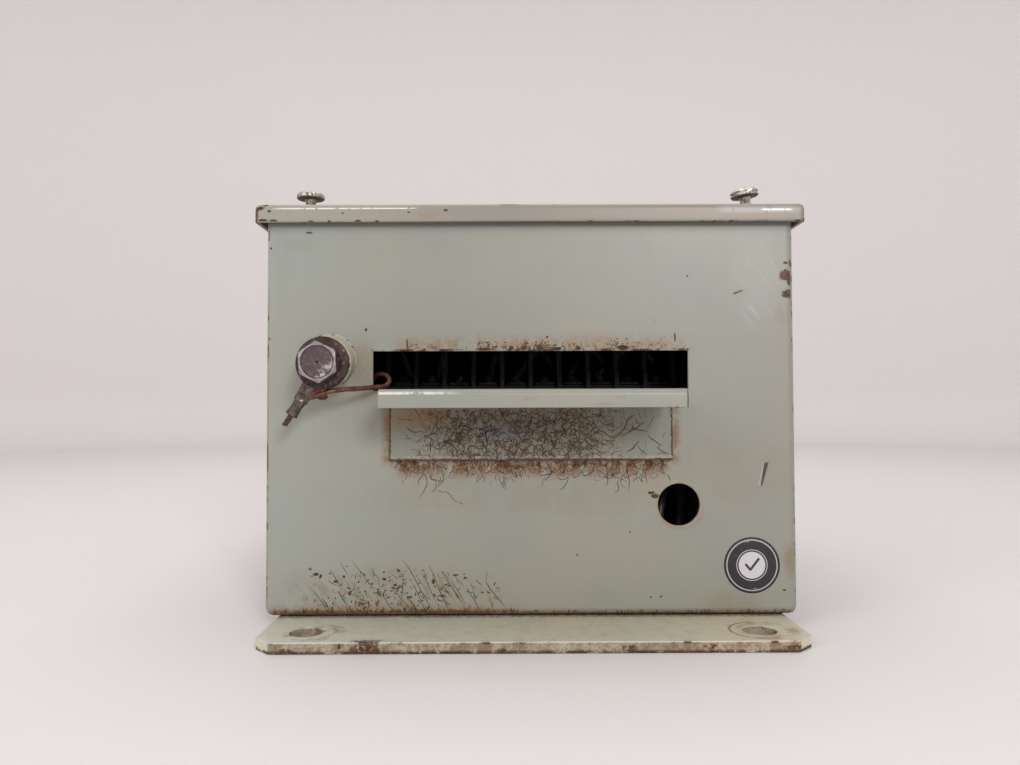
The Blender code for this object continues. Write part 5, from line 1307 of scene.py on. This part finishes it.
def aim_camera():
    yaw, rise, roll = math.radians(0.2215), math.radians(1.705), math.radians(-0.183)
    forward = Vector((math.sin(yaw) * math.cos(rise), math.cos(yaw) * math.cos(rise), math.sin(rise)))
    level = Vector((math.cos(yaw), -math.sin(yaw), 0))
    upright = level.cross(forward)
    right = math.cos(roll) * level + math.sin(roll) * upright
    up = -math.sin(roll) * level + math.cos(roll) * upright
    data = bpy.data.cameras.new("camera")
    data.sensor_width = 36
    data.lens = 28.14
    data.clip_start = 0.01
    camera = bpy.data.objects.new("camera", data)
    bpy.context.collection.objects.link(camera)
    turn = Matrix((right, up, -forward)).transposed().to_4x4()
    camera.matrix_world = Matrix.Translation((-9.04 * MM, -414.1 * MM, 83.46 * MM)) @ turn
    bpy.context.scene.camera = camera


def build_stage():
    """A plain pale floor that curves up into a wall all round."""
    radius, bend, height, steps = 1.55, 0.12, 1.5, 96
    profile = [(0.0, 0.0), (0.5, 0.0), (radius - bend, 0.0)]
    for i in range(1, 9):
        angle = math.pi / 2 * i / 8
        profile.append((radius - bend + bend * math.sin(angle), bend - bend * math.cos(angle)))
    profile.append((radius, height))
    bm = bmesh.new()
    rows = []
    for r, z in profile:
        if r == 0:
            rows.append([bm.verts.new((0, 0, z))] * steps)
        else:
            rows.append([bm.verts.new((r * math.cos(a), r * math.sin(a), z)) for a in circle(steps)])
    for a, b in zip(rows, rows[1:]):
        for i in range(steps):
            corners = [a[i], b[i], b[(i + 1) % steps], a[(i + 1) % steps]]
            bm.faces.new(list(dict.fromkeys(corners)))
    mesh = bpy.data.meshes.new("stage")
    bm.to_mesh(mesh)
    bm.free()
    mesh.polygons.foreach_set("use_smooth", [True] * len(mesh.polygons))
    floor = bpy.data.objects.new("stage", mesh)
    bpy.context.collection.objects.link(floor)
    look = Look("stage_paper", (0.775, 0.740, 0.735), 0.6)
    look.layer(look.noise(400, 2, 0.5).rise(0.3, 0.7) * 0.3, (0.780, 0.748, 0.744))
    mesh.materials.append(look.finish())
    floor.location.z = -0.1 * MM


def area_light(name, place, target, size, power):
    data = bpy.data.lights.new(name, "AREA")
    data.shape = "DISK"
    data.size = size
    data.energy = power
    light = bpy.data.objects.new(name, data)
    bpy.context.collection.objects.link(light)
    light.location = place
    light.rotation_euler = (Vector(target) - Vector(place)).to_track_quat("-Z", "Y").to_euler()
    light.visible_camera = False


def light_stage():
    world = bpy.data.worlds.new("world")
    world.use_nodes = True
    world.node_tree.nodes["Background"].inputs["Color"].default_value = (1.0, 0.985, 0.97, 1)
    world.node_tree.nodes["Background"].inputs["Strength"].default_value = 0.50
    bpy.context.scene.world = world
    area_light("key", (0.42, -1.35, 0.62), (0, -0.1, 0.08), 0.35, 7.9)
    area_light("fill", (-1.0, -0.9, 0.7), (0, -0.1, 0.08), 0.9, 4.6)
    area_light("top", (0, 0.2, 1.35), (0, 0, 0.1), 1.2, 6.2)
    area_light("wall", (0, 0.55, 1.30), (0, 1.5, 0.55), 0.9, 1.6)


aim_camera()
build_stage()
light_stage()
bpy.context.scene.view_settings.view_transform = "Standard"
